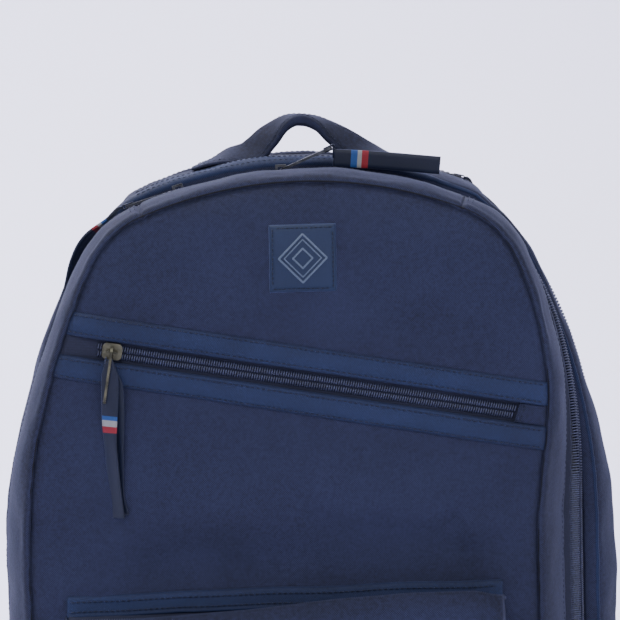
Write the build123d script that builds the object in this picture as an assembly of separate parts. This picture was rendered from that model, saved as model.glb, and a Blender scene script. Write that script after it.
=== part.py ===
from build123d import *
from math import atan2, cos, degrees, radians, sin, sqrt
import os

# Canvas daypack with a rounded top. +Z is up, the front faces -Y, and the origin is at the middle
# of the underside. All sizes are in millimetres.

# ---- driving dimensions: outline of the bag, seen from the front ----
SEAM_TOP = 415.0          # height of the front panel's seam at the middle of the top
TOP_RADIUS = 240.0        # top, shoulder and side arcs run into each other tangentially
SHOULDER_RADIUS = 52.0
SIDE_RADIUS = 265.0
TOP_TURN = 22.0           # degrees of turn in half of the top arc
SHOULDER_TURN = 43.0      # degrees of turn in the shoulder arc, the side arc has the rest
BASE_RADIUS = 30.0        # lower corners
TOP_SHARE = 0.5           # how much of the sideways bulge the top gets
SIDE_SHARE = 8.3          # growth of the side arc's radius for each mm of bulge, which widens the sides

# ---- depth stations from front to back, and the sideways bulge at each ----
FRONT_Y, FRONT_BULGE = -65.0, 0.0
ZIP1_Y, ZIP1_BULGE = (-30.0, -14.0), 10.0
MIDDLE_Y, WIDEST_BULGE = 6.0, 20.0
ZIP2_Y, ZIP2_BULGE = (22.0, 38.0), 20.0
BACK_Y, BACK_BULGE = 62.0, 12.0
CANVAS = 2.0              # outer fabric with its lining
PANEL_OUT = 2.0           # front and back panels stand this much outside their seams
TUB_TOP = 40.0            # height of the bottom panel's turned-up sides
GUSSET_SPLIT = 88.0       # half-width of the front gusset's top piece

# ---- zips ----
COIL_WIDTH, COIL_HEIGHT = 6.0, 2.0
ZIP_RECESS = 5.0          # the round-the-bag zips lie this deep between their gussets
LIP = 2.0                 # width of the gusset edges that turn down to those zips
TAPE = 0.8                # thickness of zip tape, facing tape and ribbon
ZIP_CLEAR = 0.3           # slider over coil
SLIDER_LENGTH, SLIDER_WIDTH, SLIDER_PLATE = 11.0, 9.0, 1.2
CROWN_HEIGHT, CROWN_HALF, CROWN_BAR = 3.4, 2.4, 1.3
BLADE_LENGTH, BLADE_WIDTH, BLADE_THICK = 29.0, 6.0, 1.4
BLADE_HOLE = 2.05         # radius of the hole that the crown passes through
PIN_INSET = 2.45          # from the middle of that hole to the bar behind it
SLOT = (5.5, 26.5, 3.0)   # slot in the blade: start, end, width
RIBBON_WIDTH, RIBBON_THICK, RIBBON_LENGTH = 10.0, 1.6, 90.0
RIBBON_RUN, RIBBON_LEAN = 60.0, 5.6   # middle ribbon: length along the zip, degrees it slopes

# ---- slanted pocket zip on the front panel ----
SLANT = 10.0              # degrees that it falls towards +X
SLANT_Z = 306.0           # height at the middle of the bag
WINDOW = 6.0              # half the height of the opening that the coil shows in
FACING = 12.5             # facing tape on each side of the opening
SLANT_SLIDER_U = -108.0   # slider's place along the zip, from the middle of the bag
SLANT_COIL = (-114.0, 124.0)   # ends of the coil along the zip
POCKET_BAG_DROP = 120.0

# ---- label ----
LABEL_Z, LABEL_SIZE = 373.0, 37.0

# ---- top sliders: distance from the middle of the bag ----
LEFT_X, RIGHT_X, LAPTOP_X = -68.0, -11.0, 62.0
RIGHT_LIFT = 20.0         # degrees that the middle pull stands up

# ---- carry handle ----
HANDLE_Y, HANDLE_WIDTH, HANDLE_THICK = 4.0, 20.0, 4.0
HANDLE_FOOT_X, HANDLE_PIVOT_UP = 36.0, 8.5
HANDLE_RISE = 26.0        # top of the handle above the bag
FOOT_THICK, FOOT_LENGTH, FOOT_RISER = 3.0, 26.0, 4.4

# ---- front pocket ----
POCKET_HALF, POCKET_TOP, POCKET_FOOT, POCKET_DEPTH = 121.0, 190.0, 10.0, 28.0
POCKET_EDGE_Z = 170.0     # where the pocket's face meets its zip
POCKET_SLIDER_X = 96.0

# ---- back: padded straps ----
STRAP_WIDTH, STRAP_THICK, STRAP_X, STRAP_SPLAY = 60.0, 11.0, 45.0, 9.0
STRAP_TOP_Z = 398.0
WEBBING_WIDTH, WEBBING_THICK = 25.0, 1.6
LOCK_WIDTH, LOCK_LENGTH, LOCK_THICK, LOCK_BAR = 34.0, 26.0, 4.0, 3.0
FOAM = 8.0
GAP = 0.3                 # between soft pieces that only lie against each other

SIDE_TURN = 90.0 - TOP_TURN - SHOULDER_TURN
PANEL_Y = FRONT_Y - PANEL_OUT


def side_radius(bulge):
    return SIDE_RADIUS + SIDE_SHARE * bulge


def arc_centres(bulge):
    """Centres (x, z) of the top, shoulder and side arcs of the right half, at a given bulge."""
    drop = (1.0 - TOP_SHARE) * bulge
    top = (0.0, SEAM_TOP - TOP_RADIUS - drop)
    first, second = radians(TOP_TURN), radians(TOP_TURN + SHOULDER_TURN)
    reach = TOP_RADIUS - SHOULDER_RADIUS
    shoulder = (top[0] + reach * sin(first), top[1] + reach * cos(first))
    reach = SHOULDER_RADIUS + bulge - side_radius(bulge)
    side = (shoulder[0] + reach * sin(second), shoulder[1] + reach * cos(second))
    return top, shoulder, side


def outline(bulge, y, inset=0.0):
    """Face across the bag at depth y, as wide as the bulge there, drawn in by inset all round."""
    top, shoulder, side = arc_centres(bulge)
    grow = bulge - inset
    flank = side_radius(bulge) - inset
    half = side[0] + flank
    base = BASE_RADIUS - inset
    right = [
        CenterArc(top, TOP_RADIUS + grow, 90 - TOP_TURN, TOP_TURN),
        CenterArc(shoulder, SHOULDER_RADIUS + grow, SIDE_TURN, SHOULDER_TURN),
        CenterArc(side, flank, 0, SIDE_TURN),
        Line((half, side[1]), (half, base + inset)),
        CenterArc((half - base, base + inset), base, -90, 90),
        Line((half - base, inset), (0, inset)),
    ]
    left = [edge.mirror(Plane.YZ) for edge in right]
    face = Face(Wire(right + left))
    return Plane.XZ.offset(-y) * face


def skin(stations, outer_inset=0.0, wall=CANVAS):
    """Hollow ring between depth stations [(y, bulge), ...]."""
    outside = loft([outline(bulge, y, outer_inset) for y, bulge in stations], ruled=True)
    inside = loft([outline(bulge, y, outer_inset + wall) for y, bulge in stations], ruled=True)
    return outside - inside


def slab(bulge, y, depth, inset=0.0):
    """Flat sheet of the bag's outline, depth mm towards the back from y."""
    return extrude(outline(bulge, y, inset), amount=depth, dir=(0, 1, 0))


def block(x, y, z):
    """Box between two values on each axis."""
    box = Box(x[1] - x[0], y[1] - y[0], z[1] - z[0])
    return Pos((x[0] + x[1]) / 2, (y[0] + y[1]) / 2, (z[0] + z[1]) / 2) * box


def above(z):
    return block((-300, 300), (-300, 300), (z, 600))


def below(z):
    return block((-300, 300), (-300, 300), (-100, z))


def strap(points, radii, thick, width, side=Side.LEFT):
    """Flat strap along a path of (a, b) points: thick to one side of it, width across it."""
    path = FilletPolyline(points, radius=radii) if radii else Polyline(points)
    face = make_face(offset(path, amount=thick, side=side))
    return extrude(face, amount=width / 2, both=True)


def in_profile(shape):
    """Turn a shape drawn in (a, b, across) into (y = a, z = b, x = across)."""
    return Plane(origin=(0, 0, 0), x_dir=(0, 1, 0), z_dir=(1, 0, 0)) * shape


# ---- sliders and pulls, in the zip's own frame: X along the zip, Y across it, Z away from it ----
PLATE_TOP = COIL_HEIGHT + ZIP_CLEAR + SLIDER_PLATE
BAR_Z = PLATE_TOP + CROWN_HEIGHT
PIN_Z = BAR_Z - PIN_INSET


def slider():
    """Slider body over the coil, with the bridge that holds the pull. Z is measured from the tape."""
    plate = fillet(
        block((-SLIDER_LENGTH / 2, SLIDER_LENGTH / 2), (-SLIDER_WIDTH / 2, SLIDER_WIDTH / 2),
              (PLATE_TOP - SLIDER_PLATE, PLATE_TOP)).edges().filter_by(Axis.Z), 2.5)
    inner = COIL_WIDTH / 2 + 0.2
    outer = SLIDER_WIDTH / 2
    flanges = [block((-4, 4), sorted((s * inner, s * outer)), (0.2, PLATE_TOP - SLIDER_PLATE))
               for s in (-1, 1)]
    half = CROWN_BAR / 2
    legs = [block((s * CROWN_HALF - half, s * CROWN_HALF + half), (-half, half), (PLATE_TOP, BAR_Z))
            for s in (-1, 1)]
    reach = CROWN_HALF + half
    bar = block((-reach, reach), (-half, half), (BAR_Z - half, BAR_Z + half))
    return plate + flanges + legs + bar


def blade():
    """Slotted pull plate. The middle of its hole is the origin and it runs along +X."""
    outer = extrude(Pos(BLADE_LENGTH / 2 - BLADE_WIDTH / 4, 0) *
                    SlotOverall(BLADE_LENGTH + BLADE_WIDTH / 2, BLADE_WIDTH), BLADE_THICK / 2, both=True)
    hole = Cylinder(BLADE_HOLE, 3 * BLADE_THICK)
    start, end, width = SLOT
    slot = extrude(Pos((start + end) / 2, 0) * SlotOverall(end - start, width), BLADE_THICK, both=True)
    return outer - hole - slot


def ribbon_loop():
    """Narrow part of a doubled ribbon: through the end of the slot and round the blade's tip."""
    start, end = SLOT[1] - 2.3, SLOT[1] - 1.2
    tip = BLADE_LENGTH
    loop_z = BLADE_THICK / 2 + 0.15
    neck = SLOT[2] / 2 - 0.5
    through = block((start, end), (-neck, neck), (-loop_z - TAPE, loop_z + TAPE))
    sides = [block((start, tip + 1.4), (-neck, neck), sorted((s * loop_z, s * (loop_z + TAPE))))
             for s in (-1, 1)]
    cap = block((tip + 0.3, tip + 1.4), (-neck, neck), (-loop_z - TAPE, loop_z + TAPE))
    return through + sides + cap


def ribbon_tail(points, y, side=Side.LEFT):
    """Flat tail that lies along a path of (x, z) points, its middle at depth y."""
    tail = strap(points, None, RIBBON_THICK, RIBBON_WIDTH, side)
    return Pos(0, y, 0) * (Plane.XZ * tail)


def over_shoulder(bulge, angle, height):
    """Point (x, z) over the shoulder or side arc of the right half, angle degrees from upright."""
    _, shoulder, side = arc_centres(bulge)
    turned = TOP_TURN + SHOULDER_TURN
    on_shoulder = angle <= turned
    centre, radius = (shoulder, SHOULDER_RADIUS + bulge) if on_shoulder else (side, side_radius(bulge))
    reach = radius + height
    return centre[0] + reach * sin(radians(angle)), centre[1] + reach * cos(radians(angle))


def zip_frame(bulge, y, x):
    """Frame on a zip that runs over the top arc, at distance x from the middle: X along it."""
    centre = arc_centres(bulge)[0]
    radius = TOP_RADIUS + bulge - ZIP_RECESS
    up = Vector(x, 0, sqrt(radius ** 2 - x ** 2)).normalized()
    origin = Vector(centre[0], y, centre[1]) + up * radius
    return Plane(origin=origin, x_dir=Vector(up.Z, 0, -up.X), z_dir=up)


def pull_frame(frame, lift, along=1.0):
    """Frame of a pull that hinges on its pin: lifted by so many degrees from lying on the zip."""
    pin = frame.origin + frame.z_dir * PIN_Z
    axis = frame.y_dir
    lying = frame.x_dir * along
    x_dir = lying * cos(radians(lift)) + frame.z_dir * sin(radians(lift))
    z_dir = x_dir.cross(axis) if along > 0 else axis.cross(x_dir) * -1
    z_dir = z_dir if z_dir.dot(frame.z_dir) > 0 or lift > 60 else z_dir * -1
    return Plane(origin=pin + x_dir * PIN_INSET, x_dir=x_dir, z_dir=z_dir)


# ---- the shell of the bag ----
STATIONS = [(FRONT_Y, FRONT_BULGE), (ZIP1_Y[0], ZIP1_BULGE), (ZIP1_Y[1], ZIP1_BULGE + 3.0),
            (MIDDLE_Y, WIDEST_BULGE), (ZIP2_Y[0], ZIP2_BULGE), (ZIP2_Y[1], ZIP2_BULGE),
            (BACK_Y, BACK_BULGE)]


def bulge_at(y):
    """Sideways bulge at depth y, straight between the stations."""
    for (y0, bulge0), (y1, bulge1) in zip(STATIONS, STATIONS[1:]):
        if y0 <= y <= y1:
            return bulge0 + (bulge1 - bulge0) * (y - y0) / (y1 - y0)
    return BACK_BULGE


def lip(y0, y1, zip_bulge):
    """Turned-down edge of a gusset beside a recessed zip, from y0 to y1."""
    outside = loft([outline(bulge_at(y), y, CANVAS) for y in (y0, y1)], ruled=True)
    inside = loft([outline(zip_bulge, y, ZIP_RECESS + TAPE) for y in (y0, y1)], ruled=True)
    return outside - inside


def front_gusset():
    """Three sewn lengths: over the top, and down each side."""
    edge = ZIP1_Y[0]
    ring = (skin(STATIONS[0:2]) + lip(edge - LIP, edge, ZIP1_BULGE)) & above(TUB_TOP)
    high = block((-GUSSET_SPLIT, GUSSET_SPLIT), (-300, 300), (SEAM_TOP - 120, 600))
    side = ring - high
    half = block((-300, 0), (-300, 300), (-100, 600))
    return ring & high, side & half, side - half


def zip_rings(span, bulge):
    """Front tape, rear tape and coil of a zip that goes over the top and down both sides."""
    middle = (span[0] + span[1]) / 2
    near, far = middle - COIL_WIDTH / 2, middle + COIL_WIDTH / 2
    tapes = [skin([(a, bulge), (b, bulge)], ZIP_RECESS, TAPE) & above(TUB_TOP)
             for a, b in ((span[0], near), (far, span[1]))]
    coil = skin([(near, bulge), (far, bulge)], ZIP_RECESS - COIL_HEIGHT, COIL_HEIGHT + TAPE)
    return tapes[0] + tapes[1], coil & above(TUB_TOP)


def middle_gusset():
    """Wide band between the two zips, with an edge turned down to each."""
    front, rear = ZIP1_Y[1], ZIP2_Y[0]
    return (skin(STATIONS[2:5]) + lip(front, front + LIP, ZIP1_BULGE)
            + lip(rear - LIP, rear, ZIP2_BULGE)) & above(TUB_TOP)


def rear_gusset():
    edge = ZIP2_Y[1]
    return (skin(STATIONS[5:7]) + lip(edge, edge + LIP, ZIP2_BULGE)) & above(TUB_TOP)


def zip_facing():
    """Bright tape sewn along the front edge of the middle gusset."""
    y = ZIP1_Y[1]
    return skin([(y + 0.5, bulge_at(y + 0.5)), (y + 7.0, bulge_at(y + 7.0))], -TAPE, TAPE) & above(TUB_TOP)


def bottom_panel():
    """Tub that closes the bottom and comes up the sides."""
    return skin(STATIONS) & below(TUB_TOP)


def main_lining():
    """Thin lining of the main compartment, inside the front and middle gussets."""
    near, far = FRONT_Y + 3, ZIP1_Y[0] - LIP - 0.5
    return skin([(near, bulge_at(near)), (far, bulge_at(far))], CANVAS + 0.2, 0.6)


# ---- front panel and its slanted zip ----
def slant_plane(y):
    """Plane along the slanted zip: X along it, Y upwards across it, Z to the front."""
    return Plane(origin=(0, y, SLANT_Z), x_dir=(cos(radians(SLANT)), 0, -sin(radians(SLANT))),
                 z_dir=(0, -1, 0))


def slant_strip(low, high, y, depth, u=(-200, 200)):
    """Strip between two heights across the slanted zip, from y towards the back."""
    rect = Pos((u[0] + u[1]) / 2, (low + high) / 2) * Rectangle(u[1] - u[0], high - low)
    return extrude(slant_plane(y) * rect, amount=depth, dir=(0, 1, 0))


def front_panels():
    whole = slab(FRONT_BULGE, PANEL_Y, PANEL_OUT)
    upper = whole & slant_strip(WINDOW, 400, PANEL_Y, PANEL_OUT)
    lower = whole & slant_strip(-400, -WINDOW, PANEL_Y, PANEL_OUT)
    return upper, lower


def slant_facings():
    patch = slab(FRONT_BULGE, PANEL_Y - TAPE, TAPE, 1.0)
    upper = patch & slant_strip(WINDOW, WINDOW + FACING, PANEL_Y - TAPE, TAPE)
    lower = patch & slant_strip(-WINDOW - FACING, -WINDOW, PANEL_Y - TAPE, TAPE)
    return upper, lower


def slant_zip():
    """Tape behind the opening, the coil in it, and the sewn tab at its right end."""
    tape = slab(FRONT_BULGE, FRONT_Y, TAPE, CANVAS + GAP) & slant_strip(-9, 9, FRONT_Y, TAPE)
    half = COIL_WIDTH / 2
    coil = slant_strip(-half, half, FRONT_Y - COIL_HEIGHT, COIL_HEIGHT, SLANT_COIL)
    tab = slab(FRONT_BULGE, PANEL_Y, PANEL_OUT, 1.0) & slant_strip(
        -WINDOW + 0.1, WINDOW - 0.1, PANEL_Y, PANEL_OUT, (SLANT_COIL[1] + 1.0, 200))
    return tape, coil, tab


def slant_pocket_bag():
    """Flat inner bag that hangs behind the slanted zip."""
    top = SLANT_Z - 32
    outside = block((-115, 115), (FRONT_Y + 1.2, FRONT_Y + 5.2), (top - POCKET_BAG_DROP, top + 40))
    inside = block((-114, 114), (FRONT_Y + 2.0, FRONT_Y + 4.4), (top - POCKET_BAG_DROP + 1, top + 39))
    return outside - inside


def label():
    """Sewn patch with a raised woven emblem: a diamond in a square frame."""
    y = PANEL_Y
    half = LABEL_SIZE / 2
    patch = block((-half, half), (y - 1.0, y), (LABEL_Z - half, LABEL_Z + half))
    ring = Rectangle(20, 20) - Rectangle(17, 17)
    emblem = extrude(Plane(origin=(0, y - 1.0, LABEL_Z), x_dir=(1, 0, 0), z_dir=(0, -1, 0)) *
                     (Rot(0, 0, 45) * ring), amount=0.4)
    return patch, emblem


# ---- front pocket ----
POCKET_FACE_Y = PANEL_Y - POCKET_DEPTH
ZIP3_BACK = (PANEL_Y - 4.0, POCKET_TOP - 10.0)       # (y, z) of the two edges of the pocket's top
ZIP3_FRONT = (POCKET_FACE_Y + 6.0, POCKET_EDGE_Z)
ZIP3_TILT = degrees(atan2(ZIP3_BACK[1] - ZIP3_FRONT[1], ZIP3_BACK[0] - ZIP3_FRONT[0]))
ZIP3_RUN = sqrt((ZIP3_BACK[0] - ZIP3_FRONT[0]) ** 2 + (ZIP3_BACK[1] - ZIP3_FRONT[1]) ** 2)


def profile(points, half):
    """Prism across the bag from (y, z) points."""
    face = make_face(Polyline(*points, close=True))
    return in_profile(extrude(face, amount=half, both=True))


def pocket_zip_frame(x=0.0):
    """Frame at the middle of the pocket's zip: X along it, Z away from the pocket."""
    y = (ZIP3_BACK[0] + ZIP3_FRONT[0]) / 2
    z = (ZIP3_BACK[1] + ZIP3_FRONT[1]) / 2
    tilt = radians(ZIP3_TILT)
    return Plane(origin=(x, y, z), x_dir=(1, 0, 0), z_dir=(0, -sin(tilt), cos(tilt)))


def pocket_face():
    """Front of the pocket, turned in at its lower edge."""
    back = POCKET_FACE_Y + CANVAS
    points = [(POCKET_FACE_Y, POCKET_FOOT + 14), (POCKET_FACE_Y, POCKET_EDGE_Z - 8),
              (ZIP3_FRONT[0], POCKET_EDGE_Z), (ZIP3_FRONT[0], POCKET_EDGE_Z - 3),
              (back, POCKET_EDGE_Z - 10), (back, POCKET_FOOT + 14)]
    return profile(points, POCKET_HALF)


def pocket_gusset():
    """Sides and floor of the pocket, behind its face."""
    side = [(PANEL_Y - GAP, POCKET_FOOT), (PANEL_Y - GAP, POCKET_TOP - 12),
            (ZIP3_FRONT[0], POCKET_EDGE_Z - 5), (POCKET_FACE_Y + CANVAS, POCKET_EDGE_Z - 12),
            (POCKET_FACE_Y + CANVAS, POCKET_FOOT + 14), (POCKET_FACE_Y + 4, POCKET_FOOT)]
    hollow = [(PANEL_Y + 5, POCKET_FOOT + CANVAS), (PANEL_Y + 5, POCKET_TOP),
              (ZIP3_FRONT[0], POCKET_TOP), (POCKET_FACE_Y - 5, POCKET_TOP),
              (POCKET_FACE_Y - 5, POCKET_FOOT + 14), (POCKET_FACE_Y + 4, POCKET_FOOT + CANVAS)]
    return profile(side, POCKET_HALF) - profile(hollow, POCKET_HALF - CANVAS)


def pocket_top_tape():
    """Bright tape that joins the pocket's top to the front panel."""
    points = [(PANEL_Y, POCKET_TOP), (PANEL_Y, POCKET_TOP - 11.5), (ZIP3_BACK[0], POCKET_TOP - 10.2),
              (ZIP3_BACK[0] - 1.0, POCKET_TOP - 9.6), (PANEL_Y - 1.4, POCKET_TOP - 0.6)]
    return profile(points, POCKET_HALF)


def pocket_zip():
    """Tape across the pocket's top with the coil on it."""
    frame = pocket_zip_frame()
    reach = POCKET_HALF - 1.0
    wide = ZIP3_RUN / 2 - 0.6
    tape = frame * block((-reach, reach), (-wide, wide), (-TAPE, 0))
    coil = frame * block((-reach + 8, reach - 8), (-COIL_WIDTH / 2, COIL_WIDTH / 2), (0, COIL_HEIGHT))
    return tape, coil


# ---- carry handle ----
def handle_height(x, bulge=18.0):
    """Height of the middle gusset's crown at distance x from the middle."""
    centre = arc_centres(bulge)[0]
    return centre[1] + sqrt((TOP_RADIUS + bulge) ** 2 - x ** 2)


HANDLE_PIVOT_Z = handle_height(HANDLE_FOOT_X) + HANDLE_PIVOT_UP


def handle():
    """Arched strap above its pivots. Its legs narrow downwards so that it can tip over its feet."""
    top = handle_height(0) + HANDLE_RISE
    points = [(-HANDLE_FOOT_X, HANDLE_PIVOT_Z), (-20, top), (20, top), (HANDLE_FOOT_X, HANDLE_PIVOT_Z)]
    arch = Plane.XZ * strap(points, 14.0, HANDLE_THICK, HANDLE_WIDTH, Side.RIGHT)
    half = HANDLE_WIDTH / 2
    taper = [(HANDLE_Y - 2, HANDLE_PIVOT_Z), (HANDLE_Y + 2, HANDLE_PIVOT_Z),
             (HANDLE_Y + half, HANDLE_PIVOT_Z + half), (HANDLE_Y + half, 600),
             (HANDLE_Y - half, 600), (HANDLE_Y - half, HANDLE_PIVOT_Z + half)]
    return Pos(0, HANDLE_Y, 0) * arch & profile(taper, 100)


def handle_foot(sign):
    """Sewn end of the handle: flat along the gusset, with a low riser under the pivot."""
    y = (HANDLE_Y - HANDLE_WIDTH / 2, HANDLE_Y + HANDLE_WIDTH / 2)
    start, end = HANDLE_FOOT_X - 3, HANDLE_FOOT_X + FOOT_LENGTH
    flat = skin(STATIONS[2:5], -0.2 - FOOT_THICK, FOOT_THICK) & block((start, end), y, (300, 600))
    riser = skin(STATIONS[2:5], -FOOT_RISER, FOOT_RISER - 0.2) & block((start, start + 6), y, (300, 600))
    foot = flat + riser
    return foot.mirror(Plane.YZ) if sign < 0 else foot


# ---- back ----
def strap_frame(sign):
    """Frame of a shoulder strap, splayed outwards from its top."""
    return Pos(sign * STRAP_X, 0, STRAP_TOP_Z) * Rot(0, -sign * STRAP_SPLAY, 0)


STRAP_Y = BACK_Y + PANEL_OUT + 2.6
PAD_PATH = [(STRAP_Y, 0), (STRAP_Y + 22, -6), (STRAP_Y + 44, -76), (STRAP_Y + 44, -150),
            (STRAP_Y + 26, -252)]
LOCK_TOP = (STRAP_Y + 26.5, -266.0)
ANCHOR = (STRAP_Y + 5.0, -366.0)
LOCK_LEAN = degrees(atan2(LOCK_TOP[0] - ANCHOR[0], LOCK_TOP[1] - ANCHOR[1]))


def shoulder_pad():
    return in_profile(strap(PAD_PATH, [12.0, 60.0, 120.0], STRAP_THICK, STRAP_WIDTH))


def lock_frame():
    """Frame at the adjuster's upper bar: Y outwards, Z up along the strap."""
    return Pos(0, LOCK_TOP[0], LOCK_TOP[1]) * Rot(-LOCK_LEAN, 0, 0)


def lock_loop():
    """Webbing tab from the pad's end round the adjuster's upper bar."""
    wide = WEBBING_WIDTH / 2
    reach = LOCK_BAR / 2 + 0.3
    outside = block((-wide, wide), (-reach - 1.2, reach + 1.2), (-reach - 1.2, 13))
    inside = block((-wide - 1, wide + 1), (-reach, reach), (-reach, 11))
    return lock_frame() * (outside - inside)


def ladder_lock():
    """Adjuster: a frame with an upper bar and two lower bars."""
    half, bar = LOCK_WIDTH / 2, LOCK_BAR / 2
    thick = LOCK_THICK / 2
    cheeks = [block(sorted((s * half, s * (half - 3.0))), (-thick, thick), (-LOCK_LENGTH + bar, bar))
              for s in (-1, 1)]
    upper = Rot(0, 90, 0) * Cylinder(bar, LOCK_WIDTH - 4)
    middle = block((-half + 2, half - 2), (-thick, thick), (-14.5, -11))
    lower = block((-half, half), (-thick, thick + 2.0), (-LOCK_LENGTH - 1, -LOCK_LENGTH + 4))
    return lock_frame() * (upper + cheeks + middle + lower)


def lower_webbing():
    """Webbing from the adjuster down to the anchor."""
    wide = WEBBING_WIDTH / 2
    length = sqrt((LOCK_TOP[0] - ANCHOR[0]) ** 2 + (LOCK_TOP[1] - ANCHOR[1]) ** 2)
    near = -LOCK_THICK / 2 - 0.5            # face of the webbing next to the adjuster
    far = near - WEBBING_THICK
    tail_near = far - 0.4                   # the free tail lies behind with a gap
    sewn = -length + 30                     # height where the tail is sewn on
    flat = block((-wide, wide), (far, near), (-length + 4, -LOCK_LENGTH + 8))
    tail = block((-wide, wide), (tail_near - WEBBING_THICK, tail_near), (sewn, -LOCK_LENGTH + 6))
    stitch = block((-wide, wide), (tail_near, far), (sewn, sewn + 4))
    return lock_frame() * (flat + tail + stitch)


def anchor_tab(sign):
    """Three-cornered tab that holds the webbing, sewn on the back near the lower corner."""
    y = BACK_Y + PANEL_OUT
    points = [(82, 14), (126, 14), (126, 30), (108, 50), (92, 46)]
    face = make_face(Polyline(*[(sign * x, z) for x, z in points], close=True))
    return extrude(Plane.XZ.offset(-y) * face, amount=2.2, dir=(0, 1, 0))


def strap_yoke():
    """Patch on the back panel that covers the upper ends of the straps."""
    y = BACK_Y + PANEL_OUT
    points = [(-86, 372), (-72, 398), (72, 398), (86, 372)]
    face = make_face(Polyline(*points, close=True))
    return extrude(Plane.XZ.offset(-y) * face, amount=2.2, dir=(0, 1, 0))


def write(name, shape):
    solids = shape.solids()
    export_step(solids[0] if len(solids) == 1 else Compound(children=solids), f"parts/{name}.step")


def write_shell():
    top, left, right = front_gusset()
    write("front_gusset_top", top)
    write("front_gusset_left", left)
    write("front_gusset_right", right)
    tapes, coil = zip_rings(ZIP1_Y, ZIP1_BULGE)
    write("main_zip_tapes", tapes)
    write("main_zip_coil", coil)
    write("main_zip_facing", zip_facing())
    write("middle_gusset", middle_gusset())
    tapes, coil = zip_rings(ZIP2_Y, ZIP2_BULGE)
    write("laptop_zip_tapes", tapes)
    write("laptop_zip_coil", coil)
    write("rear_gusset", rear_gusset())
    write("bottom_panel", bottom_panel())
    write("main_lining", main_lining())
    write("back_panel", slab(BACK_BULGE, BACK_Y, PANEL_OUT))
    write("back_foam", slab(BACK_BULGE, BACK_Y - FOAM - GAP, FOAM, CANVAS + 1.0))
    write("laptop_divider", slab(WIDEST_BULGE, MIDDLE_Y + 2, 4.0, CANVAS + 0.5))


def write_front():
    upper, lower = front_panels()
    write("front_panel_upper", upper)
    write("front_panel_lower", lower)
    upper, lower = slant_facings()
    write("slant_facing_upper", upper)
    write("slant_facing_lower", lower)
    tape, coil, tab = slant_zip()
    write("slant_zip_tape", tape)
    write("slant_zip_coil", coil)
    write("slant_zip_tab", tab)
    write("slant_pocket_bag", slant_pocket_bag())
    patch, emblem = label()
    write("label_patch", patch)
    write("label_emblem", emblem)
    write("pocket_face", pocket_face())
    write("pocket_gusset", pocket_gusset())
    write("pocket_top_tape", pocket_top_tape())
    tape, coil = pocket_zip()
    write("pocket_zip_tape", tape)
    write("pocket_zip_coil", coil)


def write_back():
    write("strap_yoke", strap_yoke())
    for name, sign in (("left", -1), ("right", 1)):
        frame = strap_frame(sign)
        write(f"shoulder_pad_{name}", frame * shoulder_pad())
        write(f"lock_loop_{name}", frame * lock_loop())
        write(f"ladder_lock_{name}", frame * ladder_lock())
        write(f"lower_webbing_{name}", frame * lower_webbing())
        write(f"anchor_tab_{name}", anchor_tab(sign))


def write_handle():
    write("carry_handle", handle())
    write("handle_foot_left", handle_foot(-1))
    write("handle_foot_right", handle_foot(1))


def write_pull(name, frame, ribbon):
    write(f"{name}_blade", frame * blade())
    write(f"{name}_ribbon", ribbon)


def blade_tip(frame, along=1.0):
    """Point (x, z) just past the blade's tip."""
    tip = frame.origin + frame.x_dir * (BLADE_LENGTH + along)
    return tip.X, tip.Z


def mirrored(points):
    return [(-x, z) for x, z in points]


def write_main_left():
    """Pull that lies along the zip, its ribbon over the shoulder of the bag."""
    y, bulge = sum(ZIP1_Y) / 2, ZIP1_BULGE
    frame = zip_frame(bulge, y, LEFT_X)
    pull = pull_frame(frame, 0, -1)
    start = blade_tip(pull, 0.9)
    path = [start] + mirrored([over_shoulder(bulge, angle, height)
                               for angle, height in ((50, 0.6), (67, -0.2), (76, -0.6))])
    write("main_left_slider", frame * slider())
    write_pull("main_left", pull, pull * ribbon_loop() + ribbon_tail(path, y, Side.RIGHT))


def write_main_right():
    """Pull that stands up a little, its ribbon on edge along the zip towards +X."""
    y = sum(ZIP1_Y) / 2
    frame = zip_frame(ZIP1_BULGE, y, RIGHT_X)
    pull = pull_frame(frame, RIGHT_LIFT)
    x, z = blade_tip(pull)
    low = RIBBON_WIDTH / 2
    drop = 6.6
    fold = block((x - 0.2, x + 1.4), (y - 0.8, y + 0.8), (z - drop - low, z + 0.4))
    run = Pos(x, y, z - drop) * Rot(0, RIBBON_LEAN, 0) * block((0, RIBBON_RUN), (-0.8, 0.8), (-low, low))
    write("main_right_slider", frame * slider())
    write_pull("main_right", pull, pull * ribbon_loop() + fold + run)


def write_laptop():
    """Pull of the rear zip, its ribbon fallen over the rear gusset."""
    y, bulge = sum(ZIP2_Y) / 2, ZIP2_BULGE
    frame = zip_frame(bulge, y, LAPTOP_X)
    pull = pull_frame(frame, 0)
    start = blade_tip(pull, 0.9)
    path = [start] + [over_shoulder(bulge, angle, height)
                      for angle, height in ((46, -0.4), (66, -0.8), (74, -0.8))]
    write("laptop_slider", frame * slider())
    write_pull("laptop", pull, pull * ribbon_loop() + ribbon_tail(path, y))


def write_slant():
    """Pull of the slanted zip: its plate hangs edge-on from the bridge, the ribbon hangs beside it."""
    slant = slant_plane(FRONT_Y)
    frame = Plane(origin=slant.origin + slant.x_dir * SLANT_SLIDER_U, x_dir=slant.x_dir, z_dir=slant.z_dir)
    bar = frame.origin + frame.z_dir * BAR_Z
    pull = Plane(origin=bar, x_dir=frame.y_dir * -1, z_dir=frame.x_dir)
    start = SLOT[0] + 1.0
    through = pull * block((start, start + 1.2), (-1.0, 1.0), (-2.2, 2.0))
    at = bar + pull.x_dir * (start + 0.6) + pull.z_dir * 1.2
    half = RIBBON_THICK / 2
    tail = block((at.X, at.X + RIBBON_WIDTH), (at.Y - half, at.Y + half), (at.Z - RIBBON_LENGTH, at.Z + 1.5))
    write("slant_slider", frame * slider())
    write_pull("slant", pull, through + tail)


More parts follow.
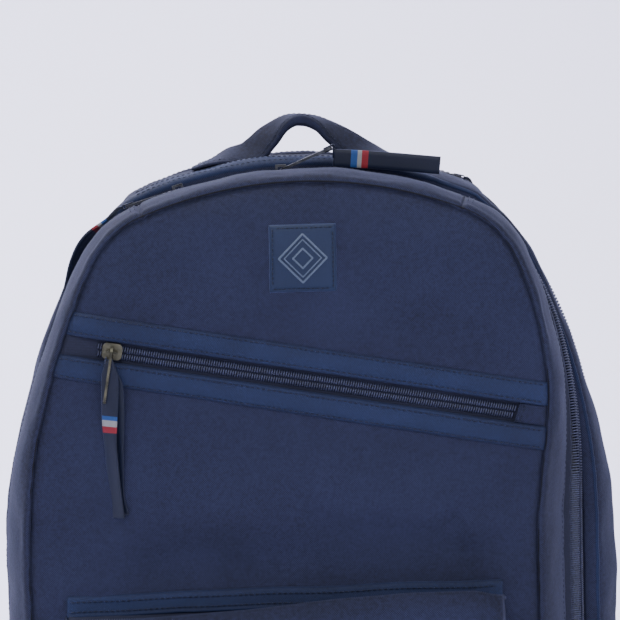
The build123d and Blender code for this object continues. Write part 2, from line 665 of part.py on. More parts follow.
def write_pocket_pull():
    """Pull that lies along the pocket's zip towards -X."""
    frame = pocket_zip_frame(POCKET_SLIDER_X)
    pull = pull_frame(frame, 0, -1)
    half = RIBBON_THICK / 2
    tail = block((BLADE_LENGTH + 0.8, BLADE_LENGTH + RIBBON_LENGTH), (-RIBBON_WIDTH / 2, RIBBON_WIDTH / 2),
                 (-half, half))
    write("pocket_slider", frame * slider())
    write_pull("pocket", pull, pull * (ribbon_loop() + tail))


os.makedirs("parts", exist_ok=True)
write_shell()
write_front()
write_back()
write_handle()
write_main_left()
write_main_right()
write_laptop()
write_slant()
write_pocket_pull()
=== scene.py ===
from math import atan2, cos, exp, hypot, pi, radians, sin, sqrt

import bpy
import numpy as np
from mathutils import Matrix, Vector, noise


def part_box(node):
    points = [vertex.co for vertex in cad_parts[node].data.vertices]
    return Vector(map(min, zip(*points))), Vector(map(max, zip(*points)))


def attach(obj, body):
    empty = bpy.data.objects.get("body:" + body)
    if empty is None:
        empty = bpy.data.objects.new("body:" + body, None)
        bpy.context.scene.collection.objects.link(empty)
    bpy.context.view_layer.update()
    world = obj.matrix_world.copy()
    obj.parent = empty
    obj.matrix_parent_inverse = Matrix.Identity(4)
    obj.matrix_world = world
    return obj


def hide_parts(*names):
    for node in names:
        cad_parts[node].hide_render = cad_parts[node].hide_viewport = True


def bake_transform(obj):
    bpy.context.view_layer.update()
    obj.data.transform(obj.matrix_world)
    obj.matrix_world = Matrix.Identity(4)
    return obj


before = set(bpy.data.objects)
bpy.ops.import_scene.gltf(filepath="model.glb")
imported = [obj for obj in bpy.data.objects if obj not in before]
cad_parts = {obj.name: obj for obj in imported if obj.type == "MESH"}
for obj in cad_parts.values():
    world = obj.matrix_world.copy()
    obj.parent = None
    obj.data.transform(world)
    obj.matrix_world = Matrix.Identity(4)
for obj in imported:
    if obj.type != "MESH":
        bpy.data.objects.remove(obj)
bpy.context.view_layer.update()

# Navy canvas daypack. Shapes are worked out in millimetres and scaled when the mesh is made.
MM = 0.001
BAG, HANDLE = "bag", "handle"


def low(node):
    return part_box(node)[0] / MM


def high(node):
    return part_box(node)[1] / MM


# ---- the bag's outline, from the frame ----
SEAM_TOP = high("front_panel_upper").z
SIDE_X = high("front_panel_lower").x
TOP_RADIUS, SHOULDER_RADIUS, SIDE_RADIUS = 240.0, 52.0, 265.0
TOP_TURN, SHOULDER_TURN, SIDE_TURN = radians(22), radians(43), radians(25)
TOP_RUN = TOP_RADIUS * TOP_TURN
SHOULDER_RUN = SHOULDER_RADIUS * SHOULDER_TURN
SIDE_RUN = SIDE_RADIUS * SIDE_TURN
FRONT_Y = high("front_panel_lower").y
ZIP1_Y = (low("main_zip_tapes").y, high("main_zip_tapes").y)
ZIP2_Y = (low("laptop_zip_tapes").y, high("laptop_zip_tapes").y)
MIDDLE_Y = 6.0
BACK_Y = low("back_panel").y
TUB_TOP = high("bottom_panel").z
BASE_RADIUS = 30.0
ZIP1_BULGE, ZIP2_BULGE, WIDEST, BACK_BULGE = 10.0, 20.0, 20.0, 12.0
SIDE_GROWTH = 7.3         # the sides widen this much more than the top, for each mm of bulge
RECESS = 5.0
DROP_SHARE = 0.5          # the outline comes down by this share of the bulge
STATIONS = [(FRONT_Y, 0.0), (ZIP1_Y[0], ZIP1_BULGE), (ZIP1_Y[1], ZIP1_BULGE + 3.0), (MIDDLE_Y, WIDEST),
            (ZIP2_Y[0], ZIP2_BULGE), (ZIP2_Y[1], ZIP2_BULGE), (BACK_Y, BACK_BULGE)]
LEAN_DEPTH, LEAN_FROM, LEAN_RISE = 11.0, 335.0, 80.0
SEAM_POINTS = 700
COIL_PITCH = 0.68
LEFT_X, MIDDLE_X, LAPTOP_X = -68.0, -11.0, 62.0   # where the round zips' sliders stand
STRIPE = 3.1              # width of each stripe on a ribbon


def outline_at(d):
    """Point (x, z) and outward direction (nx, nz) of the front seam, d along it from the top."""
    sign, a = (1 if d >= 0 else -1), abs(d)
    centre = Vector((0, SEAM_TOP - TOP_RADIUS))
    if a <= TOP_RUN:
        turn, radius = a / TOP_RADIUS, TOP_RADIUS
    else:
        centre += Vector((sin(TOP_TURN), cos(TOP_TURN))) * (TOP_RADIUS - SHOULDER_RADIUS)
        turn = TOP_TURN + (a - TOP_RUN) / SHOULDER_RADIUS
        radius = SHOULDER_RADIUS
        if a > TOP_RUN + SHOULDER_RUN:
            edge = TOP_TURN + SHOULDER_TURN
            centre += Vector((sin(edge), cos(edge))) * (SHOULDER_RADIUS - SIDE_RADIUS)
            turn = edge + (a - TOP_RUN - SHOULDER_RUN) / SIDE_RADIUS
            radius = SIDE_RADIUS
    past = a - TOP_RUN - SHOULDER_RUN - SIDE_RUN
    turn = min(turn, pi / 2)
    out = Vector((sin(turn), cos(turn)))
    at = centre + out * radius
    if past > 0:
        at = at - Vector((0, past))
    return sign * at.x, at.y, sign * out.x, out.y


SIDE_START_Z = outline_at(TOP_RUN + SHOULDER_RUN + SIDE_RUN)[1]
RUN_TO_TUB = TOP_RUN + SHOULDER_RUN + SIDE_RUN + SIDE_START_Z - TUB_TOP
RUN_TO_FLOOR = RUN_TO_TUB + TUB_TOP - BASE_RADIUS


def rear_fullness(turn):
    """The soft rear of the bag sinks in round the shoulders. 1 is the full shape."""
    falling = max(0.0, min(1.0, (turn - radians(20)) / radians(20)))
    rising = max(0.0, min(1.0, (turn - radians(52)) / radians(36)))
    ease = [t * t * (3 - 2 * t) for t in (falling, rising)]
    return 1.0 - 1.3 * ease[0] * (1.0 - ease[1])


def flank_x(bulge):
    """Half width of the bag's straight lower part at a given bulge."""
    return SIDE_X + bulge + SIDE_GROWTH * bulge * (1 - sin(TOP_TURN + SHOULDER_TURN))


def wall(d, bulge, y):
    """Point of the bag's side, d along the outline and pushed out by the bulge there."""
    x, z, nx, nz = outline_at(d)
    sign, edge = (1 if d >= 0 else -1), TOP_TURN + SHOULDER_TURN
    if bulge > ZIP1_BULGE:
        bulge = ZIP1_BULGE + (bulge - ZIP1_BULGE) * rear_fullness(atan2(abs(nx), nz))
    x, z = x + nx * bulge, z + nz * bulge - DROP_SHARE * bulge
    if atan2(abs(nx), nz) > edge:
        x += sign * (abs(nx) - sin(edge)) * SIDE_GROWTH * bulge
        z += (nz - cos(edge)) * SIDE_GROWTH * bulge
    past = abs(d) - (RUN_TO_TUB + TUB_TOP - SIDE_START_Z)
    if past > 0:
        start = SIDE_START_Z - DROP_SHARE * bulge - cos(edge) * SIDE_GROWTH * bulge
        z = start + (TUB_TOP - start) * past / (SIDE_START_Z - TUB_TOP)
    return Vector((x, y, z))


def bulge_at(y):
    ys, bulges = zip(*STATIONS)
    return float(np.interp(y, ys, bulges))


def lean(z):
    """The upper front leans back a little."""
    return LEAN_DEPTH * max(0.0, (z - LEAN_FROM) / LEAN_RISE) ** 2


SEAM = np.array([outline_at(d)[:2] for d in np.linspace(-RUN_TO_FLOOR, RUN_TO_FLOOR, SEAM_POINTS)])
HALF_SEAM = SEAM[SEAM_POINTS // 2:]


def seam_distance(x, z):
    return float(np.sqrt(((SEAM - (x, z)) ** 2).sum(1).min()))


def half_width(z):
    """Half of the front panel's width at height z."""
    if z > SIDE_START_Z:
        return float(np.interp(-z, -HALF_SEAM[:, 1], HALF_SEAM[:, 0]))
    if z < BASE_RADIUS:
        return SIDE_X - BASE_RADIUS + sqrt(max(0.0, BASE_RADIUS ** 2 - (BASE_RADIUS - z) ** 2))
    return SIDE_X


def waves(p, size, amount, seed=0.0):
    """Smooth, repeatable unevenness of the cloth."""
    return amount * noise.noise(Vector(p) / size + Vector((seed, 2.3 * seed, 7.1)))


# ---- slanted zip on the front ----
SLANT = radians(10.0)
SLANT_Z = 306.0
WINDOW, FACING = 6.0, 12.5
ALONG, ACROSS = Vector((cos(SLANT), 0, -sin(SLANT))), Vector((sin(SLANT), 0, cos(SLANT)))


def slant_point(u, v):
    """(x, z) of a place u along the slanted zip and v above it."""
    p = Vector((0, 0, SLANT_Z)) + ALONG * u + ACROSS * v
    return p.x, p.z


def slant_end(v, side, inset=0.0):
    """How far along the strip at v it is to the seam on one side."""
    near, far = 0.0, 200.0
    for _ in range(30):
        middle = (near + far) / 2
        x, z = slant_point(side * middle, v)
        if abs(x) < half_width(z) - inset:
            near = middle
        else:
            far = middle
    return side * near


HANG_HEIGHTS = [0, 60, 150, 200, 225, 250, 300, 350, 385]
HANG = [8.0, 12.0, 15.0, 15.5, 15.0, 12.5, 5.0, 0.5, 0.0]
HANG_DEPTHS = [FRONT_Y, ZIP1_Y[0] - 1.0, ZIP1_Y[0] + 3.0, ZIP1_Y[0] + 8.0, ZIP1_Y[1]]
HANG_SHARE = [1.0, 0.96, 0.75, 0.12, 0.0]
FLAP_HALF, FLAP_DEPTH = 6.0, 2.7   # flap under a round zip's coil: half width, depth under the tape
SIDE_LIFT = 4.6           # the round zips come this much nearer to the skin at the sides
CREASES = [  # x0, z0, x1, z1, width, depth: folds of the soft lower panel
    (141, 262, 96, 226, 7, 2.4), (141, 240, 108, 216, 9, -1.8), (-141, 228, -112, 212, 8, 1.6),
    (-70, 203, 95, 205, 20, 6.0), (20, 226, 118, 212, 12, 2.4), (-128, 246, -96, 232, 9, 1.0),
]


def crease(x, z):
    total = 0.0
    for x0, z0, x1, z1, width, depth in CREASES:
        run = Vector((x1 - x0, z1 - z0))
        at = Vector((x - x0, z - z0))
        share = max(0.0, min(1.0, at.dot(run) / run.length_squared))
        away = (at - run * share).length
        total += depth * exp(-(away / width) ** 2)
    return total


def panel_y(x, z):
    """Depth of the front panel's outer face."""
    edge = seam_distance(x, z)
    swell = 2.4 * (1 - exp(-edge / 12.0))
    if z < SLANT_Z:
        below = min(1.0, (SLANT_Z - 22 - 0.176 * x - z) / 60.0)
        swell += max(0.0, below) * (6.0 * (1 - exp(-edge / 30.0)) - crease(x, z))
    rough = waves((x, 0, z), 46.0, 1.1) + waves((x, 0, z), 17.0, 0.35, 3.0)
    rough += waves((x, 0, z), 7.0, 0.5, 9.0) * exp(-edge / 7.0)
    return FRONT_Y + lean(z) - swell - rough * min(1.0, edge / 10.0) + 3.6 * exp(-edge / 1.5)


def on_panel(x, z, lift=0.0):
    return Vector((x, panel_y(x, z) - lift, z))


def slumped(p):
    """The soft front hangs a little to -X of the back, more so lower down."""
    hang = float(np.interp(p[2], HANG_HEIGHTS, HANG))
    share = float(np.interp(p[1], HANG_DEPTHS, HANG_SHARE))
    return Vector((p[0] - hang * share, p[1], p[2]))


def outward(verts, faces):
    """The same faces, turned so that they look away from the middle of the bag."""
    middle, total = Vector((0, 0, 200)), 0.0
    for face in faces:
        a, b, c = (Vector(verts[i]) for i in (face[0], face[1], face[2]))
        total += (b - a).cross(c - a).dot(a - middle)
    return faces if total > 0 else [face[::-1] for face in faces]


# ---- meshes ----
def make(name, verts, faces, material, body=BAG, slot="canvas", node=(), smooth=True):
    """One piece from points in millimetres."""
    mesh = bpy.data.meshes.new(name)
    if body == BAG:
        verts = [slumped(v) for v in verts]
    mesh.from_pydata([Vector(v) * MM for v in verts], [], faces)
    mesh.update()
    obj = bpy.data.objects.new(name, mesh)
    bpy.context.scene.collection.objects.link(obj)
    for m in (material if isinstance(material, list) else [material]):
        mesh.materials.append(m)
    if smooth:
        mesh.polygons.foreach_set("use_smooth", [True] * len(mesh.polygons))
    if body:
        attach(obj, body)
    if node:
        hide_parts(*([node] if isinstance(node, str) else node))
    return obj


def grid_faces(rows, columns, closed=False, start=0):
    wide = columns if closed else columns - 1
    return [(start + r * columns + c, start + r * columns + (c + 1) % columns,
             start + (r + 1) * columns + (c + 1) % columns, start + (r + 1) * columns + c)
            for r in range(rows - 1) for c in range(wide)]


def sheet_piece(name, rows, material, thick=0.0, closed=False, **more):
    """Cloth from rows of points, given some thickness inwards."""
    verts = [p for row in rows for p in row]
    faces = outward(verts, grid_faces(len(rows), len(rows[0]), closed))
    obj = make(name, verts, faces, material, **more)
    if thick:
        solid = obj.modifiers.new("thickness", "SOLIDIFY")
        solid.thickness, solid.offset = thick * MM, -1
    return obj


def tube(path, radius, sides=8, flat=1.0, ups=None):
    """Rings of points round a path, for joining into one mesh."""
    rings = []
    for i, p in enumerate(path):
        ahead = (path[min(i + 1, len(path) - 1)] - path[max(i - 1, 0)]).normalized()
        up = ups[i] if ups else Vector((0, -1, 0))
        across = ahead.cross(up).normalized()
        up = across.cross(ahead).normalized()
        r = radius[i] if isinstance(radius, (list, tuple)) else radius
        rings.append([p + (across * cos(t) + up * sin(t) * flat) * r
                      for t in (2 * pi * k / sides for k in range(sides))])
    return rings


class Bundle:
    """Many small tubes gathered into one mesh."""

    def __init__(self):
        self.verts, self.faces = [], []

    def add(self, rings, caps=True):
        start, sides = len(self.verts), len(rings[0])
        self.verts += [p for ring in rings for p in ring]
        self.faces += [f[::-1] for f in grid_faces(len(rings), sides, True, start)]
        if caps:
            end = start + (len(rings) - 1) * sides
            self.faces += [tuple(range(start, start + sides)),
                           tuple(range(end + sides - 1, end - 1, -1))]

    def make(self, name, material, **more):
        return make(name, self.verts, self.faces, material, **more)


def stitches(bundle, path, ups, pitch=3.1, length=2.1, radius=0.3):
    """A row of single stitches along a path of closely spaced points."""
    spans = [(b - a).length for a, b in zip(path, path[1:])]
    along = np.concatenate([[0], np.cumsum(spans)])
    for k in range(int(along[-1] / pitch)):
        middle = (k + 0.5) * pitch
        ring_at = [middle + length * s for s in (-0.5, -0.36, 0.0, 0.36, 0.5)]
        points = [Vector([float(np.interp(a, along, [p[i] for p in path])) for i in range(3)])
                  for a in ring_at]
        nearest = int(np.argmin(np.abs(along - middle)))
        up = ups[nearest]
        lifts = (-0.35, 0.05, 0.16, 0.05, -0.35)
        points = [p + up * lift for p, lift in zip(points, lifts)]
        shape = tube(points, [radius * s for s in (0.5, 0.9, 1.0, 0.9, 0.5)], 6, 1.0, [up] * 5)
        bundle.add(shape)


# ---- materials ----
def srgb(r, g, b):
    return tuple((c / 255 / 12.92) if c <= 10 else ((c / 255 + 0.055) / 1.055) ** 2.4
                 for c in (r, g, b)) + (1.0,)


class Shade:
    """Small helper for building a node material."""

    def __init__(self, name, rough=0.8, metal=0.0, sheen=0.0, specular=0.3):
        self.material = bpy.data.materials.new(name)
        self.material.use_nodes = True
        self.tree = self.material.node_tree
        self.out = self.tree.nodes["Principled BSDF"]
        self.out.inputs["Roughness"].default_value = rough
        self.out.inputs["Metallic"].default_value = metal
        self.out.inputs["Specular IOR Level"].default_value = specular
        self.out.inputs["Sheen Weight"].default_value = sheen
        self.out.inputs["Sheen Roughness"].default_value = 0.45
        self.place = self.tree.nodes.new("ShaderNodeTexCoord").outputs["Object"]

    def node(self, kind, *values, **settings):
        made = self.tree.nodes.new(kind)
        for key, value in settings.items():
            setattr(made, key, value)
        for socket, value in zip(made.inputs, values):
            if value is None:
                continue
            if isinstance(value, bpy.types.NodeSocket):
                self.tree.links.new(value, socket)
            else:
                socket.default_value = value
        return made

    def math(self, operation, *values):
        return self.node("ShaderNodeMath", *values, operation=operation).outputs[0]

    def ramp(self, value, low_edge, high_edge, low_value=0.0, high_value=1.0):
        made = self.node("ShaderNodeMapRange", value, low_edge, high_edge, low_value, high_value)
        return made.outputs[0]

    def speckle(self, size_mm, detail=2.0, rough=0.5):
        """Noise whose lumps are about size_mm across."""
        made = self.node("ShaderNodeTexNoise", noise_dimensions="3D")
        self.tree.links.new(self.place, made.inputs["Vector"])
        made.inputs["Scale"].default_value = 1000.0 / size_mm
        made.inputs["Detail"].default_value = detail
        made.inputs["Roughness"].default_value = rough
        return made.outputs[0]

    def threads(self, across_mm, along_mm, twill=0.0):
        """Height of a woven surface, 0 to 1, on whichever plane the surface faces."""
        parts = self.node("ShaderNodeSeparateXYZ", self.place).outputs
        geometry = self.tree.nodes.new("ShaderNodeTexCoord").outputs["Normal"]
        facing = self.node("ShaderNodeSeparateXYZ", geometry).outputs
        total = None
        for a, b, n in ((0, 2, 1), (1, 2, 0), (0, 1, 2)):
            warp = self.math("SINE", self.math("MULTIPLY", parts[a], 2 * pi / (across_mm * MM)))
            slant = self.math("ADD", parts[b], self.math("MULTIPLY", parts[a], twill))
            weft = self.math("SINE", self.math("MULTIPLY", slant, 2 * pi / (along_mm * MM)))
            cell = self.math("MULTIPLY_ADD", self.math("MULTIPLY", warp, weft), 0.5, 0.5)
            share = self.math("POWER", self.math("ABSOLUTE", facing[n]), 4.0)
            part = self.math("MULTIPLY", cell, share)
            total = part if total is None else self.math("ADD", total, part)
        return self.math("MINIMUM", total, 1.0)

    def bump(self, height, strength, distance_mm):
        made = self.node("ShaderNodeBump")
        made.inputs["Strength"].default_value = strength
        made.inputs["Distance"].default_value = distance_mm * MM
        self.tree.links.new(height, made.inputs["Height"])
        self.tree.links.new(made.outputs[0], self.out.inputs["Normal"])

    def colour(self, value):
        self.tree.links.new(value, self.out.inputs["Base Color"])
        return self.material

    def between(self, share, a, b):
        made = self.node("ShaderNodeMix", data_type="RGBA")
        self.tree.links.new(share, made.inputs["Factor"])
        for key, value in (("A", a), ("B", b)):
            socket = [s for s in made.inputs if s.name == key and s.type == "RGBA"][0]
            if isinstance(value, bpy.types.NodeSocket):
                self.tree.links.new(value, socket)
            else:
                socket.default_value = value
        return [s for s in made.outputs if s.type == "RGBA"][0]


DYE = 0.16     # how deep the cloth is dyed: all cloth shades are darkened by this


def cloth(name, dark, light, pitch=1.25, slub=1.9, sheen=0.08, rough=0.85, bump=0.5, twill=0.0,
          along=None, fade=0.35):
    """Woven cloth: threads, uneven yarn, and slow fading between a dark and a light shade."""
    dark, light = ([c * DYE for c in shade[:3]] + [1.0] for shade in (dark, light))
    shade = Shade(name, rough=rough, sheen=sheen, specular=0.2)
    shade.out.inputs["Sheen Tint"].default_value = srgb(150, 160, 205)
    weave = shade.threads(pitch, along or pitch, twill)
    yarn = shade.speckle(slub, 3.0, 0.65)
    worn = shade.speckle(70.0, 3.0, 0.6)
    height = shade.math("ADD", shade.math("MULTIPLY", weave, 0.7), shade.math("MULTIPLY", yarn, 0.8))
    share = shade.math("ADD", shade.math("MULTIPLY", shade.ramp(height, 0.42, 1.0), 1.0 - fade),
                       shade.math("MULTIPLY", shade.ramp(worn, 0.3, 0.7), fade))
    shade.bump(height, bump, 0.35)
    return shade.colour(shade.between(share, dark, light))


def metal(name, dark, light, rough=0.35):
    """Plated metal, worn bright in patches."""
    shade = Shade(name, rough=rough, metal=0.85, specular=0.5)
    worn = shade.ramp(shade.speckle(5.0, 2.0, 0.5), 0.35, 0.75)
    fine = shade.speckle(0.6, 2.0)
    shade.bump(fine, 0.15, 0.05)
    shade.tree.links.new(shade.ramp(shade.speckle(2.0), 0.3, 0.7, rough - 0.08, rough + 0.15),
                         shade.out.inputs["Roughness"])
    return shade.colour(shade.between(worn, dark, light))


def plastic(name, dark, light, rough=0.5, size=0.8):
    shade = Shade(name, rough=rough, specular=0.45)
    grain = shade.speckle(size, 3.0)
    shade.bump(grain, 0.2, 0.06)
    return shade.colour(shade.between(shade.ramp(grain, 0.3, 0.7), dark, light))


CANVAS = cloth("navy_canvas", srgb(13, 19, 50), srgb(87, 97, 153), fade=0.22)
CANVAS_SIDE = cloth("navy_canvas_band", srgb(15, 21, 50), srgb(89, 98, 150), fade=0.22)
TAPE = cloth("facing_tape", srgb(14, 28, 70), srgb(72, 98, 168), 1.0, 1.3, 0.08, 0.7, 0.5, along=1.5)
TAPE_ZIP = cloth("zip_tape", srgb(28, 34, 62), srgb(84, 90, 132), 0.9, 0.9, 0.1, 0.8, 0.4, twill=1.0)
SATIN = cloth("ribbon_satin", srgb(18, 30, 62), srgb(40, 56, 100), 0.5, 0.8, 0.3, 0.5, 0.25, along=1.1)
STRIPE_BLUE = cloth("stripe_blue", srgb(40, 110, 215), srgb(80, 150, 250), 0.5, 0.8, 0.2, 0.6, 0.25)
STRIPE_WHITE = cloth("stripe_white", srgb(240, 244, 252), srgb(255, 255, 255), 0.5, 0.8, 0.2, 0.6, 0.25)
STRIPE_RED = cloth("stripe_red", srgb(220, 40, 66), srgb(250, 70, 90), 0.5, 0.8, 0.2, 0.6, 0.25)
LABEL = cloth("label_satin", srgb(26, 52, 102), srgb(52, 84, 142), 0.55, 0.8, 0.25, 0.55, 0.35, along=0.9)
EMBLEM = cloth("emblem_thread", srgb(160, 190, 240), srgb(225, 238, 255), 0.6, 0.7, 0.3, 0.5, 0.7, twill=1.0)
THREAD = cloth("stitch_thread", srgb(16, 24, 54), srgb(40, 54, 104), 0.4, 0.6, 0.3, 0.6, 0.5, twill=1.0)
THREAD_DARK = cloth("label_stitch", srgb(12, 20, 44), srgb(28, 40, 74), 0.4, 0.6, 0.2, 0.6, 0.5, twill=1.0)
# painted shade: near-black cloth for the tube that stands in for the shadow in the front seam's groove
SEAM_SHADE_PAINT = cloth("seam_groove_shade_paint", srgb(6, 9, 26), srgb(18, 25, 54), 0.7, 0.9, 0.05, 0.8, 0.5, twill=1.0)
MESH = cloth("back_mesh", srgb(22, 26, 44), srgb(52, 58, 84), 2.6, 1.2, 0.2, 0.9, 0.9)
WEBBING = cloth("webbing", srgb(20, 26, 48), srgb(46, 54, 86), 1.0, 0.8, 0.15, 0.6, 0.7, twill=1.0, along=2.2)
BINDING = cloth("binding", srgb(28, 36, 66), srgb(58, 66, 104), 0.8, 0.9, 0.2, 0.7, 0.5, along=1.6)
COIL = plastic("zip_coil", srgb(19, 23, 42), srgb(44, 50, 78), 0.55, 1.5)
GUNMETAL = metal("gunmetal", srgb(36, 37, 42), srgb(74, 76, 82), 0.36)
SLIDER_METAL = metal("slider_metal", srgb(44, 44, 48), srgb(86, 86, 90), 0.36)
OLIVE_METAL = metal("olive_metal", srgb(48, 48, 40), srgb(92, 90, 76), 0.36)
BUCKLE = plastic("buckle", srgb(16, 17, 24), srgb(32, 34, 44), 0.4, 0.5)


# ---- camera, light and stage ----
def add_stage():
    rows = []
    profile = [(-2.5, 0.0), (0.9, 0.0)]
    profile += [(0.9 + 0.6 * sin(t), 0.6 - 0.6 * cos(t)) for t in np.linspace(0.1, pi / 2, 12)]
    profile += [(1.5, 3.2)]
    for y, z in profile:
        rows.append([(x / MM, y / MM, z / MM) for x in (-3.0, 3.0)])
    shade = Shade("pale_paper", rough=0.95, specular=0.1)
    paper = shade.colour(shade.between(shade.ramp(shade.speckle(900.0), 0.3, 0.7),
                                       (0.81, 0.80, 0.975, 1), (0.83, 0.82, 0.99, 1)))
    nodes, links = paper.node_tree.nodes, paper.node_tree.links
    surface = next(n for n in nodes if n.type == "OUTPUT_MATERIAL").inputs["Surface"]
    mix, clear = nodes.new("ShaderNodeMixShader"), nodes.new("ShaderNodeBsdfTransparent")
    solid = surface.links[0].from_socket
    links.new(nodes.new("ShaderNodeNewGeometry").outputs["Backfacing"], mix.inputs[0])
    links.new(solid, mix.inputs[1])
    links.new(clear.outputs[0], mix.inputs[2])
    links.new(mix.outputs[0], surface)
    mesh = bpy.data.meshes.new("stage")
    mesh.from_pydata([Vector(p) * MM for row in rows for p in row], [], grid_faces(len(rows), 2))
    mesh.materials.append(paper)
    mesh.polygons.foreach_set("use_smooth", [True] * len(mesh.polygons))
    if mesh.polygons[0].normal.z < 0:
        mesh.flip_normals()
    floor = bpy.data.objects.new("stage", mesh)
    bpy.context.scene.collection.objects.link(floor)


def add_light(name, at, target, size, power, colour=(1, 1, 1)):
    data = bpy.data.lights.new(name, "AREA")
    data.shape, data.size, data.energy, data.color = "DISK", size, power, colour
    light = bpy.data.objects.new(name, data)
    light.location = at
    light.rotation_euler = (Vector(target) - Vector(at)).to_track_quat("-Z", "Y").to_euler()
    bpy.context.scene.collection.objects.link(light)


def add_camera():
    azimuth, elevation, distance = 0.0, radians(6.5), 1.4
    target = Vector((0.003, -0.067, 0.3445))
    away = Vector((sin(azimuth) * cos(elevation), -cos(azimuth) * cos(elevation), sin(elevation)))
    data = bpy.data.cameras.new("camera")
    data.lens, data.sensor_width = 148.0, 36.0
    camera = bpy.data.objects.new("camera", data)
    camera.location = target + away * distance
    roll = Matrix.Rotation(radians(-1.6), 3, "Z").to_quaternion()
    camera.rotation_euler = ((-away).to_track_quat("-Z", "Y") @ roll).to_euler()
    bpy.context.scene.collection.objects.link(camera)
    bpy.context.scene.camera = camera


def add_world():
    world = bpy.data.worlds.new("soft_room")
    world.use_nodes = True
    world.node_tree.nodes["Background"].inputs["Color"].default_value = (0.88, 0.885, 1.0, 1)
    world.node_tree.nodes["Background"].inputs["Strength"].default_value = 1.15
    bpy.context.scene.world = world


add_stage()
add_camera()
add_world()
add_light("key", (-0.5, -2.1, 2.1), (0, 0, 0.3), 1.6, 56.0)
add_light("fill", (1.7, -1.3, 1.0), (0, 0, 0.3), 1.6, 18.0, (0.95, 0.97, 1.0))
add_light("backdrop", (-0.9, 0.4, 2.4), (-0.3, 1.5, 0.9), 1.2, 112.0)


# ---- helpers along the bag ----
def smooth(points, count):
    """Evenly spaced points on a smooth curve through the given ones."""
    pts = [np.array(p, float) for p in points]
    pts = [2 * pts[0] - pts[1]] + pts + [2 * pts[-1] - pts[-2]]
    fine = []
    for p0, p1, p2, p3 in zip(pts, pts[1:], pts[2:], pts[3:]):
        for t in np.linspace(0, 1, 12, endpoint=False):
            fine.append(0.5 * (2 * p1 + (p2 - p0) * t + (2 * p0 - 5 * p1 + 4 * p2 - p3) * t * t
                               + (3 * p1 - p0 - 3 * p2 + p3) * t ** 3))
    fine.append(pts[-2])
    fine = np.array(fine)
    along = np.concatenate([[0], np.cumsum(np.linalg.norm(np.diff(fine, axis=0), axis=1))])
    places = np.linspace(0, along[-1], count)
    return [tuple(np.interp(places, along, fine[:, k])[i] for k in range(fine.shape[1]))
            for i in range(count)]


def seam_run(x_or_z, find="x"):
    """Distance along the seam from the top to where it reaches an x or a height."""
    runs = np.linspace(0, RUN_TO_FLOOR, 1500)
    values = [outline_at(d)[0 if find == "x" else 1] for d in runs]
    return float(runs[int(np.argmin(np.abs(np.array(values) - x_or_z)))])


def steps(low_end, high_end, size):
    return np.linspace(low_end, high_end, max(2, int(abs(high_end - low_end) / size) + 1))


def leaning(y, z):
    """Depth after the front edge has leaned back near the top."""
    if y > ZIP1_Y[0]:
        return y
    return y + lean(z) * (ZIP1_Y[0] - y) / (ZIP1_Y[0] - FRONT_Y)


def skin_point(d, y, lift, rough=1.0):
    """Point on a gusset: lift is its height over the plain skin."""
    _, z, nx, nz = outline_at(d)
    p = wall(d, bulge_at(min(max(y, FRONT_Y), BACK_Y)), y)
    uneven = waves(p, 38.0, 1.5) + waves(p, 13.0, 0.45, 4.0)
    edge = min(abs(y - e) for e in (FRONT_Y, *ZIP1_Y, *ZIP2_Y, BACK_Y))
    pucker = waves(p, 6.0, 0.8, 8.0) * exp(-edge / 6.0)
    push = lift + rough * min(1.0, edge / 5.0) * uneven + rough * pucker * 0.6
    return Vector((p.x + nx * push, leaning(y, z), p.z + nz * push))


# edge profiles of the bands: (y, height over the skin)
FRONT_BAND = [(-62.6, -2.4), (-64.8, -1.6), (-65.9, -0.2), (-65.6, 1.1), (-63, 2.4), (-55, 3.2),
              (-47, 2.9), (-40, 2.0), (-34, 0.9), (-31, -0.2), (-30.1, -1.8), (-30.4, -5.0), (-30.8, -8.0)]
MIDDLE_BAND = [(-12.9, -8.5), (-13.5, -5.0), (-13.9, -0.8), (-13.0, 1.6), (-10, 2.6), (-4, 2.8), (4, 2.0),
               (12, 0.8), (18, -0.1), (21, -0.6), (21.9, -2.2), (21.6, -5.0), (21.2, -8.0)]
REAR_BAND = [(38.8, -8.0), (38.4, -5.0), (38.1, -1.2), (39.0, 0.6), (42, 1.5), (48, 2.2), (55, 1.8),
             (60.5, 0.8), (62.6, -0.8), (62.8, -3.6)]


def band(name, profile, d0, d1, node, material=CANVAS_SIDE, across=26, size=2.4, notch=None, **more):
    """Gusset strip between two places along the outline."""
    section = smooth(profile, across)
    rows = []
    for d in steps(d0, d1, size):
        gap = -1.3 * exp(-((min(abs(d - d0), abs(d - d1))) / 1.2) ** 2) if notch else 0.0
        rows.append([skin_point(d, y, lift + gap) for y, lift in section])
    return sheet_piece(name, rows, material, thick=1.2, node=node, **more)


def band_path(y, lift, d0, d1, size=1.5):
    """Points and outward directions along a band, for stitches."""
    points, ups = [], []
    for d in steps(d0, d1, size):
        nx, nz = outline_at(d)[2:]
        points.append(skin_point(d, y, lift))
        ups.append(Vector((nx, 0, nz)))
    return points, ups


def lift_at(profile, y):
    middle = sorted(p for p in profile if -4 < p[1])
    return float(np.interp(y, [p[0] for p in middle], [p[1] for p in middle]))


# ---- shell ----
SPLIT = seam_run(high("front_gusset_top").x)
band("front_gusset_top_cloth", FRONT_BAND, -SPLIT, SPLIT, "front_gusset_top", notch=True)
band("front_gusset_left_cloth", FRONT_BAND, -RUN_TO_TUB, -SPLIT, "front_gusset_left", notch=True)
band("front_gusset_right_cloth", FRONT_BAND, SPLIT, RUN_TO_TUB, "front_gusset_right", notch=True)
band("middle_gusset_cloth", MIDDLE_BAND, -RUN_TO_TUB, RUN_TO_TUB, "middle_gusset")
band("rear_gusset_cloth", REAR_BAND, -RUN_TO_TUB, RUN_TO_TUB, "rear_gusset")


